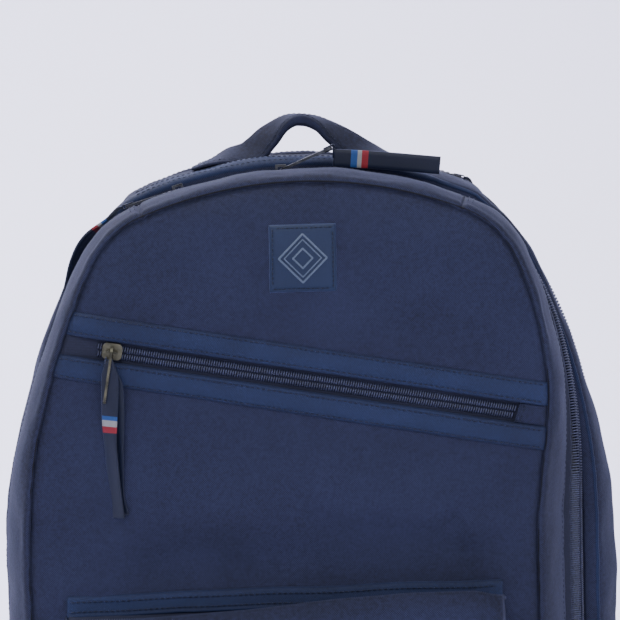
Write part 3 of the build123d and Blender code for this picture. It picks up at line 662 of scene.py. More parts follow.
def zip_point(d, bulge, y):
    """Point on a round zip, which comes nearer to the skin down the sides.

    The outline is that of the bulge less the recess, so over the top it lies half of RECESS above
    the CAD's zip.
    """
    nx, nz = outline_at(d)[2:]
    t = max(0.0, min(1.0, (abs(d) - 115.0) / 60.0))
    out = (SIDE_LIFT if d > 0 else 0.5 * SIDE_LIFT) * t * t * (3 - 2 * t)
    return wall(d, bulge - RECESS, y) + Vector((nx * out, 0, nz * out))


def zip_tape(name, spans, bulge, node):
    """Two recessed tapes beside a coil, and the folded flap that closes the gap under it."""
    verts, faces = [], []
    middle = (spans[0][1] + spans[1][0]) / 2
    strips = [(y0, y1, 0.0) for y0, y1 in spans] + [(middle - FLAP_HALF, middle + FLAP_HALF, FLAP_DEPTH)]
    for y0, y1, deeper in strips:
        rows = [[zip_point(d, bulge - deeper + 0.15 * sin(d * 0.9), y) for y in np.linspace(y0, y1, 8)]
                for d in steps(-RUN_TO_TUB, RUN_TO_TUB, 3.0)]
        faces += grid_faces(len(rows), 8, False, len(verts))
        verts += [p for row in rows for p in row]
    obj = make(name, verts, outward(verts, faces), TAPE_ZIP, slot="zip_tape", node=node)
    solid = obj.modifiers.new("thickness", "SOLIDIFY")
    solid.thickness, solid.offset = 0.8 * MM, -1


def coil(name, places, node, body=BAG, spread=1.0):
    """Zip coil: one small bent loop after another from each side. places: (origin, along, across, up)."""
    half = [(-2.9, 0.1, 0.32), (-2.5, 1.0, 0.4), (-1.5, 1.6, 0.42), (-0.75, 1.35, 0.46), (-0.4, 0.7, 0.4)]
    sides = 6
    verts, faces = [], []
    ring_faces = grid_faces(len(half), sides, True)
    for k, (origin, along, across, up) in enumerate(places):
        side = 1 if k % 2 else -1
        start = len(verts)
        for a, h, r in half:
            for t in range(sides):
                turn = 2 * pi * t / sides
                verts.append(origin + across * side * a * spread + up * (h + r * sin(turn))
                             + along * r * cos(turn))
        faces += [tuple(start + i for i in (f if side < 0 else f[::-1])) for f in ring_faces]
        last = start + (len(half) - 1) * sides
        faces.append(tuple(range(last, last + sides)))
    return make(name, verts, faces, COIL, slot="zip_coil", node=node, body=body)


def round_coil(name, y, bulge, node):
    places = []
    for d in np.arange(-RUN_TO_TUB, RUN_TO_TUB, COIL_PITCH):
        nx, nz = outline_at(d)[2:]
        up = Vector((nx, 0, nz))
        along = Vector((nz, 0, -nx))
        places.append((zip_point(d, bulge, y), along, Vector((0, 1, 0)), up))
    coil(name, places, node)


ZIP1_MIDDLE, ZIP2_MIDDLE = sum(ZIP1_Y) / 2, sum(ZIP2_Y) / 2
zip_tape("main_zip_tape_cloth", [(-31.0, ZIP1_MIDDLE - 2.6), (ZIP1_MIDDLE + 2.6, -13.0)], ZIP1_BULGE,
         "main_zip_tapes")
zip_tape("laptop_zip_tape_cloth", [(21.0, ZIP2_MIDDLE - 2.6), (ZIP2_MIDDLE + 2.6, 39.0)], ZIP2_BULGE,
         "laptop_zip_tapes")
round_coil("main_zip_coil_teeth", ZIP1_MIDDLE, ZIP1_BULGE, "main_zip_coil")
round_coil("laptop_zip_coil_teeth", ZIP2_MIDDLE, ZIP2_BULGE, "laptop_zip_coil")
FACING_BAND = [(-13.6, -1.5), (-14.0, 1.2), (-13.0, 2.7), (-10, 3.7), (-7.6, 3.9), (-6.8, 3.7), (-6.5, 2.6)]


def facing_tape():
    """Bright tape behind the main zip, wide over the top and a narrow edge down the sides."""
    rows = []
    for d in steps(-RUN_TO_TUB, RUN_TO_TUB, 2.4):
        wide = float(np.interp(d, [-SPLIT - 40, -SPLIT + 14, 30, 100], [0.12, 1.0, 1.0, 0.12]))
        rows.append([skin_point(d, ZIP1_Y[1] + (y - ZIP1_Y[1]) * wide, lift * (0.2 + 0.8 * wide))
                     for y, lift in smooth(FACING_BAND, 10)])
    sheet_piece("main_zip_facing_tape", rows, TAPE, 1.2, slot="facing_tape", node="main_zip_facing")


facing_tape()


# ---- front panel ----
def line_run(v, side):
    x, z = slant_point(slant_end(v, side), v)
    return side * seam_run(z, "z"), x, z


def upper_panel():
    d_left, x_left, z_left = line_run(WINDOW, -1)
    d_right, x_right, z_right = line_run(WINDOW, 1)
    rows = []
    for t in np.linspace(0, 1, 84):
        row = []
        for s in np.linspace(0, 1, 186):
            lx, lz = x_left + (x_right - x_left) * s, z_left + (z_right - z_left) * s
            ox, oz = outline_at(d_left + (d_right - d_left) * s)[:2]
            row.append(on_panel(lx + (ox - lx) * t, lz + (oz - lz) * t))
        rows.append(row)
    sheet_piece("front_panel_upper_cloth", rows, CANVAS, 1.6, node="front_panel_upper")


def lower_panel():
    _, x_left, z_left = line_run(-WINDOW, -1)
    _, x_right, z_right = line_run(-WINDOW, 1)
    rows = []
    for t in np.linspace(0, 1, 170):
        row = []
        for s in np.linspace(0, 1, 170):
            lx, lz = x_left + (x_right - x_left) * s, z_left + (z_right - z_left) * s
            z = lz * (1 - t)
            share = (1 - t) * lx / half_width(lz) + t * (2 * s - 1)
            row.append(on_panel(share * half_width(z), z))
        rows.append(row)
    sheet_piece("front_panel_lower_cloth", rows, CANVAS, 1.6, node="front_panel_lower")


upper_panel()
lower_panel()


def slant_strip(name, profile, node, material=TAPE, start=None, inset=0.6, **more):
    """Strip along the slanted zip, from start or from the left seam. profile: (v, height over the panel)."""
    section = smooth(profile, 16)
    rows = []
    for s in np.linspace(0, 1, 190):
        row = []
        for v, lift in section:
            a = slant_end(v, -1, inset) if start is None else start
            b = slant_end(v, 1, inset)
            x, z = slant_point(a + (b - a) * s, v)
            row.append(on_panel(x, z, lift + waves((x, 5, z), 9.0, 0.25)))
        rows.append(row)
    return sheet_piece(name, rows, material, 0.7, node=node, **more)


UPPER_FACING = [(WINDOW - 0.2, -3.0), (WINDOW - 0.5, -0.6), (WINDOW - 0.1, 0.9), (WINDOW + 1.6, 1.1),
                (WINDOW + 6, 1.5), (WINDOW + FACING - 2, 1.0), (WINDOW + FACING - 0.3, 0.9),
                (WINDOW + FACING, -0.4)]
LOWER_FACING = [(-v, lift) for v, lift in reversed(UPPER_FACING)]
slant_strip("slant_facing_upper_tape", UPPER_FACING, "slant_facing_upper", slot="facing_tape")
slant_strip("slant_facing_lower_tape", LOWER_FACING, "slant_facing_lower", slot="facing_tape")


def slant_zip_parts():
    tape_y = low("slant_zip_tape").y
    rows = []
    for u in np.linspace(0, 1, 90):
        row = []
        for v in np.linspace(-9, 9, 13):
            a, b = slant_end(v, -1, 2.0), slant_end(v, 1, 2.0)
            x, z = slant_point(a + (b - a) * u, v)
            row.append(Vector((x, tape_y, z)))
        rows.append(row)
    sheet_piece("slant_zip_tape_cloth", rows, TAPE_ZIP, 0.8, slot="zip_tape", node="slant_zip_tape")
    places = []
    for u in np.arange(-113.4, 123.6, COIL_PITCH):
        x, z = slant_point(u, 0)
        places.append((Vector((x, tape_y, z)), ALONG, ACROSS, Vector((0, -1, 0))))
    coil("slant_zip_coil_teeth", places, "slant_zip_coil", spread=1.3)
    tab = [(-WINDOW, -2.6), (-WINDOW + 0.3, -0.4), (-3, 0.2), (0, 0.4), (3, 0.2), (WINDOW - 0.3, -0.4),
           (WINDOW, -2.6)]
    slant_strip("slant_zip_tab_cloth", tab, "slant_zip_tab", CANVAS, 125.0, 1.0)


slant_zip_parts()


# ---- bottom tub ----
def tub():
    """Bottom and its turned-up sides, flat where the bag stands."""
    section = smooth([(FRONT_Y + 2.4, -2.6), (FRONT_Y - 0.6, -1.0), (FRONT_Y + 2, 0.6), (-30, 0.8), (6, 0.9),
                      (40, 0.8), (BACK_Y - 1, 0.5), (BACK_Y + 0.8, -1.0), (BACK_Y + 0.6, -3.0)], 40)
    rows = []
    for t in steps(0, 1, 1 / 150):
        row = []
        for y, lift in section:
            half = flank_x(bulge_at(min(max(y, FRONT_Y), BACK_Y)))
            side, corner, flat = TUB_TOP + 1 - BASE_RADIUS, BASE_RADIUS * pi / 2, half - BASE_RADIUS
            run = (2 * t - 1) * (side + corner + flat)
            sign, a = (1 if run >= 0 else -1), abs(run)
            lift = lift + 0.4 * waves((run, y, 0), 25.0, 1.0)
            if a < flat:
                x, z, nx, nz = a, 0.0, 0.0, 0.0
            elif a < flat + corner:
                turn = (a - flat) / BASE_RADIUS
                nx, nz = sin(turn), -cos(turn) * min(1.0, (a - flat) / 20.0)
                x, z = flat + BASE_RADIUS * sin(turn), BASE_RADIUS * (1 - cos(turn))
            else:
                x, z, nx, nz = half, BASE_RADIUS + a - flat - corner, 1.0, 0.0
            row.append(Vector((sign * (x + nx * lift), y, max(0.0, z + nz * lift))))
        rows.append(row)
    sheet_piece("bottom_tub_cloth", rows, CANVAS_SIDE, 1.4, node="bottom_panel")


tub()


def back_panel():
    """Padded mesh back: raised channels between sewn lines."""
    rows = []
    z_top = outline_at(0)[1] + DROP_SHARE * BACK_BULGE - 1.0
    for t in np.linspace(0, 1, 130):
        row = []
        z = 0.4 + (z_top - 0.4) * t
        width = back_half(max(2.0, z - 4.0) if t < 0.97 else z)
        for s in np.linspace(-1, 1, 110):
            x = s * width
            edge = min(width - abs(x), z, z_top - z)
            quilt = 3.0 * abs(sin(pi * z / 74.0)) ** 0.35 * (1 - exp(-(abs(abs(x) - 52) / 3.0) ** 2) * 0.7)
            puff = (0.3 + quilt) * (1 - exp(-max(0.0, edge) / 9.0)) + waves((x, 70, z), 30.0, 0.5)
            puff *= 1.0 if z < 360 else max(0.0, 1 - (z - 360) / 10.0)
            row.append(Vector((x, BACK_Y + 2.0 - 3.2 * exp(-max(0.0, edge) / 2.0) + min(puff, 3.0) * 0.8, z)))
        rows.append(row)
    sheet_piece("back_panel_mesh", rows, MESH, 1.6, slot="back_mesh", node="back_panel")


BACK_LINE = np.array([tuple(wall(d, BACK_BULGE, BACK_Y))[0::2] for d in np.linspace(0, RUN_TO_TUB, 500)])


def back_half(z):
    if z <= TUB_TOP:
        half = flank_x(BACK_BULGE)
        if z < BASE_RADIUS:
            half += sqrt(max(0.0, BASE_RADIUS ** 2 - (BASE_RADIUS - z) ** 2)) - BASE_RADIUS
        return half
    return float(np.interp(-z, -BACK_LINE[:, 1], BACK_LINE[:, 0]))


back_panel()


# ---- front pocket ----
POCKET_HALF = high("pocket_face").x
POCKET_FACE = low("pocket_face").y
POCKET_LOW, POCKET_HIGH = low("pocket_gusset").z, high("pocket_top_tape").z
EDGE_Z = high("pocket_face").z


POCKET_RISE_X = [-121, -70, -20, 30, 70, 105, 121]
POCKET_RISE = [8.0, 10.0, 13.0, 17.5, 20.0, 20.0, 16.0]


def pocket_sag(x):
    """How far the pocket's top tape stands over its straight line."""
    return waves((x, 0, 190), 50.0, 1.6) + 1.2 * sin(pi * (x + 121) / 242) + 0.012 * (x + 60)


def pocket_face():
    """Swollen face of the pocket, turned in at its edges."""
    front_edge = POCKET_FACE + 6.0
    rows = []
    for s in np.linspace(-1, 1, 150):
        row = []
        for z, y in smooth([(EDGE_Z - 2.2, front_edge + 1.2), (EDGE_Z + 0.4, front_edge - 0.4),
                            (EDGE_Z - 2, POCKET_FACE + 3.2), (EDGE_Z - 9, POCKET_FACE - 0.4),
                            (140, POCKET_FACE - 2.0), (90, POCKET_FACE - 2.6), (45, POCKET_FACE - 1.4),
                            (27, POCKET_FACE + 1.0), (23, POCKET_FACE + 3.4)], 80):
            x = s * (POCKET_HALF - 0.4)
            edge = POCKET_HALF - abs(x)
            swell = waves((x, 0, z), 40.0, 1.6) + waves((x, 0, z), 15.0, 0.5, 5.0)
            turn = 7.0 * exp(-edge / 3.5)
            rise = float(np.interp(x, POCKET_RISE_X, POCKET_RISE)) * max(0.0, (z - 110) / 60.0)
            row.append(Vector((x, y + turn - swell * min(1.0, edge / 12.0) * 0.8, z + rise)))
        rows.append(row)
    sheet_piece("pocket_face_cloth", rows, CANVAS, 1.6, node="pocket_face")


def pocket_gusset():
    """Sides and floor of the pocket as one strip."""
    rows, path = [], []
    for side in (-1, 1):
        column = [(side * POCKET_HALF, z) for z in np.linspace(POCKET_HIGH - 13, POCKET_LOW + 14, 60)]
        corner = [(side * (POCKET_HALF - 14 + 14 * cos(t)), POCKET_LOW + 14 - 14 * sin(t))
                  for t in np.linspace(0.15, pi / 2, 9)]
        part = column + corner
        path += part if side < 0 else part[::-1]
    for x, z in path:
        row = []
        slope = max(0.0, min(1.0, (z - 150) / 28.0))
        depth = POCKET_FACE + 3.4 + slope * 17.0 * ((z - 150) / 28.0)
        for t in np.linspace(0, 1, 16):
            y = depth + (FRONT_Y - 1.0 - depth) * t
            puff = 1.6 * sin(pi * t) ** 0.7 - 1.8 * exp(-t / 0.04) + waves((x, y, z), 16.0, 0.8)
            down = puff if z < POCKET_LOW + 3 else 0
            row.append(Vector((x + (1 if x > 0 else -1) * puff * 0.8, y, z - down)))
        rows.append(row)
    sheet_piece("pocket_gusset_cloth", rows, CANVAS_SIDE, 1.4, node="pocket_gusset")


pocket_face()
pocket_gusset()
ZIP3_BACK = Vector((0, high("pocket_zip_tape").y, high("pocket_zip_tape").z))
ZIP3_FRONT = Vector((0, POCKET_FACE + 6.0, EDGE_Z))
ZIP3_ACROSS = (ZIP3_BACK - ZIP3_FRONT).normalized()
ZIP3_UP = Vector((1, 0, 0)).cross(ZIP3_ACROSS)
ZIP3_MIDDLE = (ZIP3_BACK + ZIP3_FRONT) / 2


def pocket_zip():
    reach = high("pocket_zip_tape").x
    rows = [[ZIP3_MIDDLE + Vector((x, 0, 0)) + ZIP3_ACROSS * a + ZIP3_UP * waves((x, a, 1), 8.0, 0.25)
             for a in np.linspace(-9.6, 10.0, 9)] for x in np.linspace(-reach, reach, 120)]
    sheet_piece("pocket_zip_tape_cloth", rows, TAPE_ZIP, 0.8, slot="zip_tape", node="pocket_zip_tape")
    places = [(ZIP3_MIDDLE + Vector((x, 0, 0)), Vector((1, 0, 0)), ZIP3_ACROSS, ZIP3_UP)
              for x in np.arange(-112, 112, COIL_PITCH)]
    coil("pocket_zip_coil_teeth", places, "pocket_zip_coil")
    top = [(-71.6, 178.9), (-70.6, 181), (-69.9, 185), (-69.2, 188.6), (-68.0, 190.2), (-66.6, 189.4),
           (-66.0, 186.5)]
    rows = []
    for x in np.linspace(-POCKET_HALF, POCKET_HALF, 170):
        sag = pocket_sag(x)
        rows.append([Vector((x, y - 2.9 + waves((x, y, z), 9.0, 0.3), z - 1.0 + sag))
                     for y, z in smooth(top, 14)])
    sheet_piece("pocket_top_facing", rows, TAPE, 0.9, slot="facing_tape", node="pocket_top_tape")


pocket_zip()


# ---- label with a plain woven emblem ----
def label():
    centre_z = (low("label_patch").z + high("label_patch").z) / 2
    half = (high("label_patch").x - low("label_patch").x) / 2
    rows = []
    for z in np.linspace(-half, half, 40):
        row = []
        for x in np.linspace(-half, half, 40):
            edge = half - max(abs(x), abs(z))
            lift = 0.9 + 0.35 * (1 - exp(-edge / 1.5)) - 0.25 * exp(-((edge - 1.9) / 0.5) ** 2)
            row.append(on_panel(x, centre_z + z, lift - 0.9 * exp(-edge / 0.35)))
        rows.append(row)
    sheet_piece("label_patch_cloth", rows, LABEL, 0.7, slot="label", node="label_patch")
    edge = half - 1.9
    corners = [(-edge, -edge), (edge, -edge), (edge, edge), (-edge, edge), (-edge, -edge)]
    bundle = Bundle()
    for (x0, z0), (x1, z1) in zip(corners, corners[1:]):
        path = [on_panel(x0 + (x1 - x0) * t, centre_z + z0 + (z1 - z0) * t, 1.35)
                for t in np.linspace(0, 1, 40)]
        stitches(bundle, path, [Vector((0, -1, 0))] * 40, 2.6, 1.7, 0.26)
    bundle.make("label_stitches", THREAD_DARK, slot="label")
    threads = Bundle()

    def satin(x0, z0, x1, z1, width, pitch=0.42):
        """Solid line of short embroidery threads laid across its run."""
        run = Vector((x1 - x0, z1 - z0))
        side = Vector((-run.y, run.x)).normalized() * width / 2
        for t in np.arange(0, run.length, pitch):
            at = Vector((x0, z0)) + run * t / run.length
            ends = [at - side, at, at + side]
            path = [on_panel(p.x, centre_z + p.y, 1.35 + h) for p, h in zip(ends, (0.0, 0.22, 0.0))]
            threads.add(tube(path, 0.24, 5))

    for size, width in ((13.2, 1.0), (10.2, 0.55), (5.4, 0.9)):
        diamond = [(0, -size), (size, 0), (0, size), (-size, 0), (0, -size)]
        for (x0, z0), (x1, z1) in zip(diamond, diamond[1:]):
            satin(x0, z0, x1, z1, width)
    threads.make("label_emblem_threads", EMBLEM, slot="emblem_thread", node="label_emblem")


label()


# ---- stitch rows ----
def sew():
    bundle = Bundle()
    out = Vector((0, -1, 0))
    for v in (WINDOW + 1.7, WINDOW + FACING - 1.5, -WINDOW - 1.7, -WINDOW - FACING + 1.5):
        a, b = slant_end(v, -1, 2.0), slant_end(v, 1, 2.0)
        path = []
        for u in steps(a, b, 1.5):
            x, z = slant_point(u, v)
            path.append(on_panel(x, z, 1.25 if abs(v) > 9 else 1.35))
        stitches(bundle, path, [out] * len(path))
    for u in (126.4, 128.2):
        path = [on_panel(*slant_point(u, v), 0.35) for v in np.linspace(-5.4, 5.4, 12)]
        stitches(bundle, path, [out] * len(path), 2.6, 1.8)
    for z, y in ((POCKET_HIGH - 4.0, -71.6), (POCKET_HIGH - 9.2, -72.7)):
        path = [Vector((x, y - 1.55, z + pocket_sag(x)))
                for x in steps(-POCKET_HALF + 2, POCKET_HALF - 2, 2.0)]
        stitches(bundle, path, [out] * len(path))
    for profile, y in ((FRONT_BAND, -36.5), (FACING_BAND, -8.4), (FACING_BAND, -12.2), (MIDDLE_BAND, 18.0),
                       (REAR_BAND, 42.0)):
        ends = (-SPLIT, 28) if profile is FACING_BAND else (4 - RUN_TO_TUB, RUN_TO_TUB - 4)
        path, ups = band_path(y, lift_at(profile, y) + 0.02, *ends)
        stitches(bundle, path, ups, radius=0.26)
    for side in (-1, 1):
        for shift in (2.2, 4.6):
            d = side * (SPLIT + shift)
            nx, nz = outline_at(d)[2:]
            ys = np.linspace(-61, -35, 22)
            path = [skin_point(d, y, lift_at(FRONT_BAND, y) + 0.2) for y in ys]
            stitches(bundle, path, [Vector((nx, 0, nz))] * 22)
    bundle.make("stitch_rows", THREAD, slot="canvas")


sew()


def groove_shade_tube():
    """Dark tube sunk in the groove between the front panel and its gusset: painted shade along the seam
    groove.
    """
    path = []
    for d in steps(-RUN_TO_FLOOR + 6, RUN_TO_FLOOR - 6, 1.6):
        x, z, nx, nz = outline_at(d)
        path.append(Vector((x - nx * 0.35, FRONT_Y - 0.1 + lean(z) * 0.99, z - nz * 0.35)))
    shade_bundle = Bundle()
    shade_bundle.add(tube(path, 0.55, 8))
    shade_bundle.make("front_seam_painted_shade", SEAM_SHADE_PAINT)


groove_shade_tube()


# ---- carry handle: one folded strap from foot to foot ----
def crown(x, y, height):
    """Point above the middle gusset at a distance x from the middle."""
    d = (1 if x >= 0 else -1) * TOP_RADIUS * abs(atan2(x, TOP_RADIUS + 10))
    nx, nz = outline_at(d)[2:]
    p = wall(d, bulge_at(y), y)
    return Vector((p.x + nx * height, y, p.z + nz * height))


HANDLE_Y = (low("carry_handle").y + high("carry_handle").y) / 2
# x, z (None: so far above the gusset), turn of the strap's width into view, half width, half thickness
HANDLE_RUN = [(-61, None, 2.9, 0, 10, 0.9), (-50, None, 3.8, 4, 10, 1.4), (-40, None, 5.2, 20, 10, 1.6),
              (-29, 427.6, 0, 44, 10.2, 1.9), (-18, 437.2, 0, 40, 9.4, 2.4), (-8.5, 444.4, 0, 16, 9, 3.2),
              (1.0, 446.2, 0, 0, 9, 3.6), (10.5, 443.6, 0, 12, 9, 3.2), (19.5, 437.6, 0, 34, 9.4, 2.4),
              (30, 430.4, 0, 42, 10, 1.9), (40, None, 5.0, 22, 10, 1.6), (50, None, 3.8, 6, 10, 1.4),
              (61, None, 2.9, 0, 10, 0.9)]


def foot_top(x):
    """Height of a handle foot's upper face at distance x from the middle."""
    return float(np.interp(x, [40, 50, 61], [6.5, 5.0, 3.6]))


HANDLE_RINGS, HANDLE_SIDES = 130, 28


def handle():
    keys = []
    for x, z, height, turn, wide, thick in HANDLE_RUN:
        at = crown(x, HANDLE_Y, height) if z is None else Vector((x, HANDLE_Y, z))
        keys.append((at.x, at.z, turn, wide, thick))
    line = smooth(keys, HANDLE_RINGS)
    rings, edges = [], ([], [])
    for i, (x, z, turn, wide, thick) in enumerate(line):
        x1, z1 = line[min(i + 1, HANDLE_RINGS - 1)][:2]
        x0, z0 = line[max(i - 1, 0)][:2]
        ahead = Vector((x1 - x0, 0, z1 - z0)).normalized()
        up = Vector((-ahead.z, 0, ahead.x))
        turn = radians(turn)
        side = Vector((0, 1, 0)) * cos(turn) + up * sin(turn)
        face = side.cross(ahead) * -1
        ring = []
        for k in range(HANDLE_SIDES):
            t = 2 * pi * k / HANDLE_SIDES
            a = abs(cos(t)) ** 0.55 * (1 if cos(t) > 0 else -1) * wide
            b = abs(sin(t)) ** 0.6 * (1 if sin(t) > 0 else -1) * thick
            p = Vector((x, HANDLE_Y, z)) + side * a
            seam = 0.35 * exp(-((abs(a) - wide + 1.9) / 0.6) ** 2)
            b -= seam * (1 if b > 0 else -1)
            b += waves(p, 9.0, 0.45) * min(1.0, thick / 2.5)
            ring.append(p + face * b)
        rings.append(ring)
        for row, sign in zip(edges, (-1, 1)):
            at = Vector((x, HANDLE_Y, z)) + side * sign * (wide - 2.8) + face * (thick - 0.4)
            row.append((at, face))
    cloth_bundle = Bundle()
    cloth_bundle.add(rings)
    strap = cloth_bundle.make("carry_handle_strap", CANVAS_SIDE, body=None,
                              node=("carry_handle", "handle_foot_left", "handle_foot_right"))
    thread = Bundle()
    for row in edges:
        stitches(thread, [p for p, _ in row], [f for _, f in row], 3.0, 2.0, 0.24)
    for sign in (-1, 1):
        for x in (44, 57):
            path = [crown(sign * x, y, foot_top(x)) for y in np.linspace(HANDLE_Y - 8, HANDLE_Y + 8, 20)]
            stitches(thread, path, [Vector((sign * 0.2, 0, 0.98))] * 20, 2.6, 1.9, 0.24)
        cross = [[crown(sign * (44 + 13 * t), HANDLE_Y + s * (16 * t - 8), foot_top(44 + 13 * t))
                  for t in np.linspace(0, 1, 24)]
                 for s in (-1, 1)]
        for path in cross:
            stitches(thread, path, [Vector((sign * 0.2, 0, 0.98))] * 24, 2.6, 1.9, 0.24)
    sewn = thread.make("carry_handle_stitches", THREAD, body=None)
    for obj in (strap, sewn):
        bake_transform(obj)


handle()


# ---- pulls: ribbons through the slotted plates ----
def ribbon(name, body, node, path, sides, widths, stripe=None, thick=0.75):
    """Doubled ribbon along a path. sides: across directions. stripe: where the three stripes start."""
    mesh = Bundle()
    rings, along = [], [0.0]
    for i, p in enumerate(path):
        ahead = (path[min(i + 1, len(path) - 1)] - path[max(i - 1, 0)]).normalized()
        side = (sides[i] - ahead * sides[i].dot(ahead)).normalized()
        face = ahead.cross(side)
        w = widths[i] / 2
        section = [(-w, 0.55), (-w * 0.94, 1.0), (-w * 0.5, 1.05), (0, 1.0), (w * 0.5, 1.05), (w * 0.94, 1.0),
                   (w, 0.55), (w - 0.45, 0.0), (w, -0.55), (w * 0.94, -1.0), (w * 0.5, -1.05), (0, -1.0),
                   (-w * 0.5, -1.05), (-w * 0.94, -1.0), (-w, -0.55), (-w + 0.45, 0.0)]
        rings.append([p + side * a + face * b * thick for a, b in section])
        if i:
            along.append(along[-1] + (p - path[i - 1]).length)
    mesh.add(rings)
    materials = [SATIN, STRIPE_BLUE, STRIPE_WHITE, STRIPE_RED]
    obj = mesh.make(name, materials, body=body, slot="ribbon", node=node)
    if stripe is not None:
        for face in obj.data.polygons:
            row = min(face.vertices) // len(section)
            at = (along[min(row, len(along) - 1)] - stripe) / STRIPE
            if 0 <= at < 3 and len(face.vertices) == 4:
                face.material_index = 1 + int(at)
    return obj


def neck(name, body, hole, out, across, up, start=24.4, end=30.6):
    """Narrow part of the ribbon: through the end of the plate's slot and round its tip."""
    height = 1.15
    corners = [(start, -height), (start, height), (end - 0.5, height), (end, height * 0.6),
               (end, -height * 0.6), (end - 0.5, -height), (start, -height)]
    section = ((-1.1, -0.35), (1.1, -0.35), (1.1, 0.35), (-1.1, 0.35))
    path = [hole + out * a + up * b for a, b in corners]
    rings = []
    for i, p in enumerate(path):
        ahead = (path[min(i + 1, len(path) - 1)] - path[max(i - 1, 0)]).normalized()
        face = ahead.cross(across).normalized()
        rings.append([p + across * a + face * b for a, b in section])
    loop = Bundle()
    loop.add(rings)
    return loop.make(name, SATIN, body=body, slot="ribbon")


PIN_HEIGHT, PIN_INSET, PLATE = 4.45, 2.45, 29.0


def top_pull(x, bulge, y, lift, along):
    """Hole of a pull on a zip over the top, and the directions along it and out of it."""
    radius = TOP_RADIUS + bulge - RECESS
    up = Vector((x, 0, sqrt(radius ** 2 - x ** 2))) / radius
    origin = Vector((0, y, SEAM_TOP - TOP_RADIUS - DROP_SHARE * bulge)) + up * radius
    lying = Vector((up.z, 0, -up.x)) * along
    out = lying * cos(lift) + up * sin(lift)
    face = up * cos(lift) - lying * sin(lift)
    return origin + up * PIN_HEIGHT + out * PIN_INSET, out, face


def over_side(sign, y, bulge, d0, d1, lifts, size=2.0):
    """Points lying over the shoulder of the bag."""
    points = []
    places = steps(d0, d1, size)
    heights = np.interp(np.linspace(0, 1, len(places)), np.linspace(0, 1, len(lifts)), lifts)
    for d, lift in zip(places, heights):
        nx, nz = outline_at(sign * d)[2:]
        p = wall(sign * d, bulge, y)
        points.append(Vector((p.x + nx * lift, y, p.z + nz * lift)))
    return points


def side_ribbon(name, sign, y, bulge, x, lifts, d_end, tilt, stripe):
    hole, out, face = top_pull(x, bulge, y, 0.0, sign)
    neck(f"{name}_neck", f"{name}_pull_body", hole, out, Vector((0, 1, 0)), face)
    tip = hole + out * (PLATE + 1.6)
    d0 = seam_run(abs(tip.x) * (TOP_RADIUS / (TOP_RADIUS + bulge))) + 5
    points = over_side(sign, y, bulge, d0, d_end, lifts)
    count = 60
    keys = [tuple(tip), tuple(tip + out * 3), *[tuple(p) for p in points[1::6]]]
    path = [Vector(p) for p in smooth(keys, count)]
    outs = [Vector((outline_at(sign * d)[2], 0, outline_at(sign * d)[3]))
            for d in np.linspace(d0, d_end, count)]
    ease = np.clip(np.linspace(0, 1, count) * 2.2, 0, 1)
    sides = [Vector((0, 1, 0)) * cos(tilt * e) - o * sin(tilt * e) for o, e in zip(outs, ease)]
    widths = np.interp(np.arange(count), [0, 2, 6, 59], [2.4, 3.0, 9.5, 10.0])
    ribbon(f"{name}_ribbon_cloth", f"{name}_pull_body", f"{name}_ribbon", path, sides, widths, stripe)


side_ribbon("main_left", -1, ZIP1_MIDDLE, ZIP1_BULGE, LEFT_X, (0.6, 2.2, 2.6, 0.4, -1.8, -1.8), 160,
            0.7, 11.0)
side_ribbon("laptop", 1, ZIP2_MIDDLE, ZIP2_BULGE, LAPTOP_X, (-0.8, -0.6, -1.6, -1.8), 176, 0.0, 40.0)


def middle_ribbon():
    hole, out, face = top_pull(MIDDLE_X, ZIP1_BULGE, ZIP1_MIDDLE, radians(20.0), 1)
    body = "main_right_pull_body"
    neck("main_right_neck", body, hole, out, Vector((0, 1, 0)), face)
    tip = hole + out * (PLATE + 1.2)
    lean_angle = radians(5.6)
    start = Vector((tip.x - 0.4, ZIP1_MIDDLE, tip.z - 6.4))
    count = 50
    path = [start + Vector((t * cos(lean_angle), 0.5 * sin(t / 11.0),
                            -t * sin(lean_angle) + 0.3 * sin(t / 17.0)))
            for t in np.linspace(0, 60.2, count)]
    ribbon("main_right_ribbon_cloth", body, "main_right_ribbon", path, [Vector((0.03, 0, 1))] * count,
           [10.0] * count, 9.5)
    fold = Bundle()
    turn = [Vector((tip.x - 0.3 + 1.0 * sin(t), ZIP1_MIDDLE + 0.9 * cos(t), tip.z - 1.4))
            for t in np.linspace(0, pi, 9)]
    fold.add([[p + Vector((0, 0, h)) for h in (1.7, -5.0)] + [p + Vector((-0.5, 0, h)) for h in (-5.0, 1.7)]
              for p in turn])
    fold.make("main_right_fold", SATIN, body=body, slot="ribbon")


middle_ribbon()


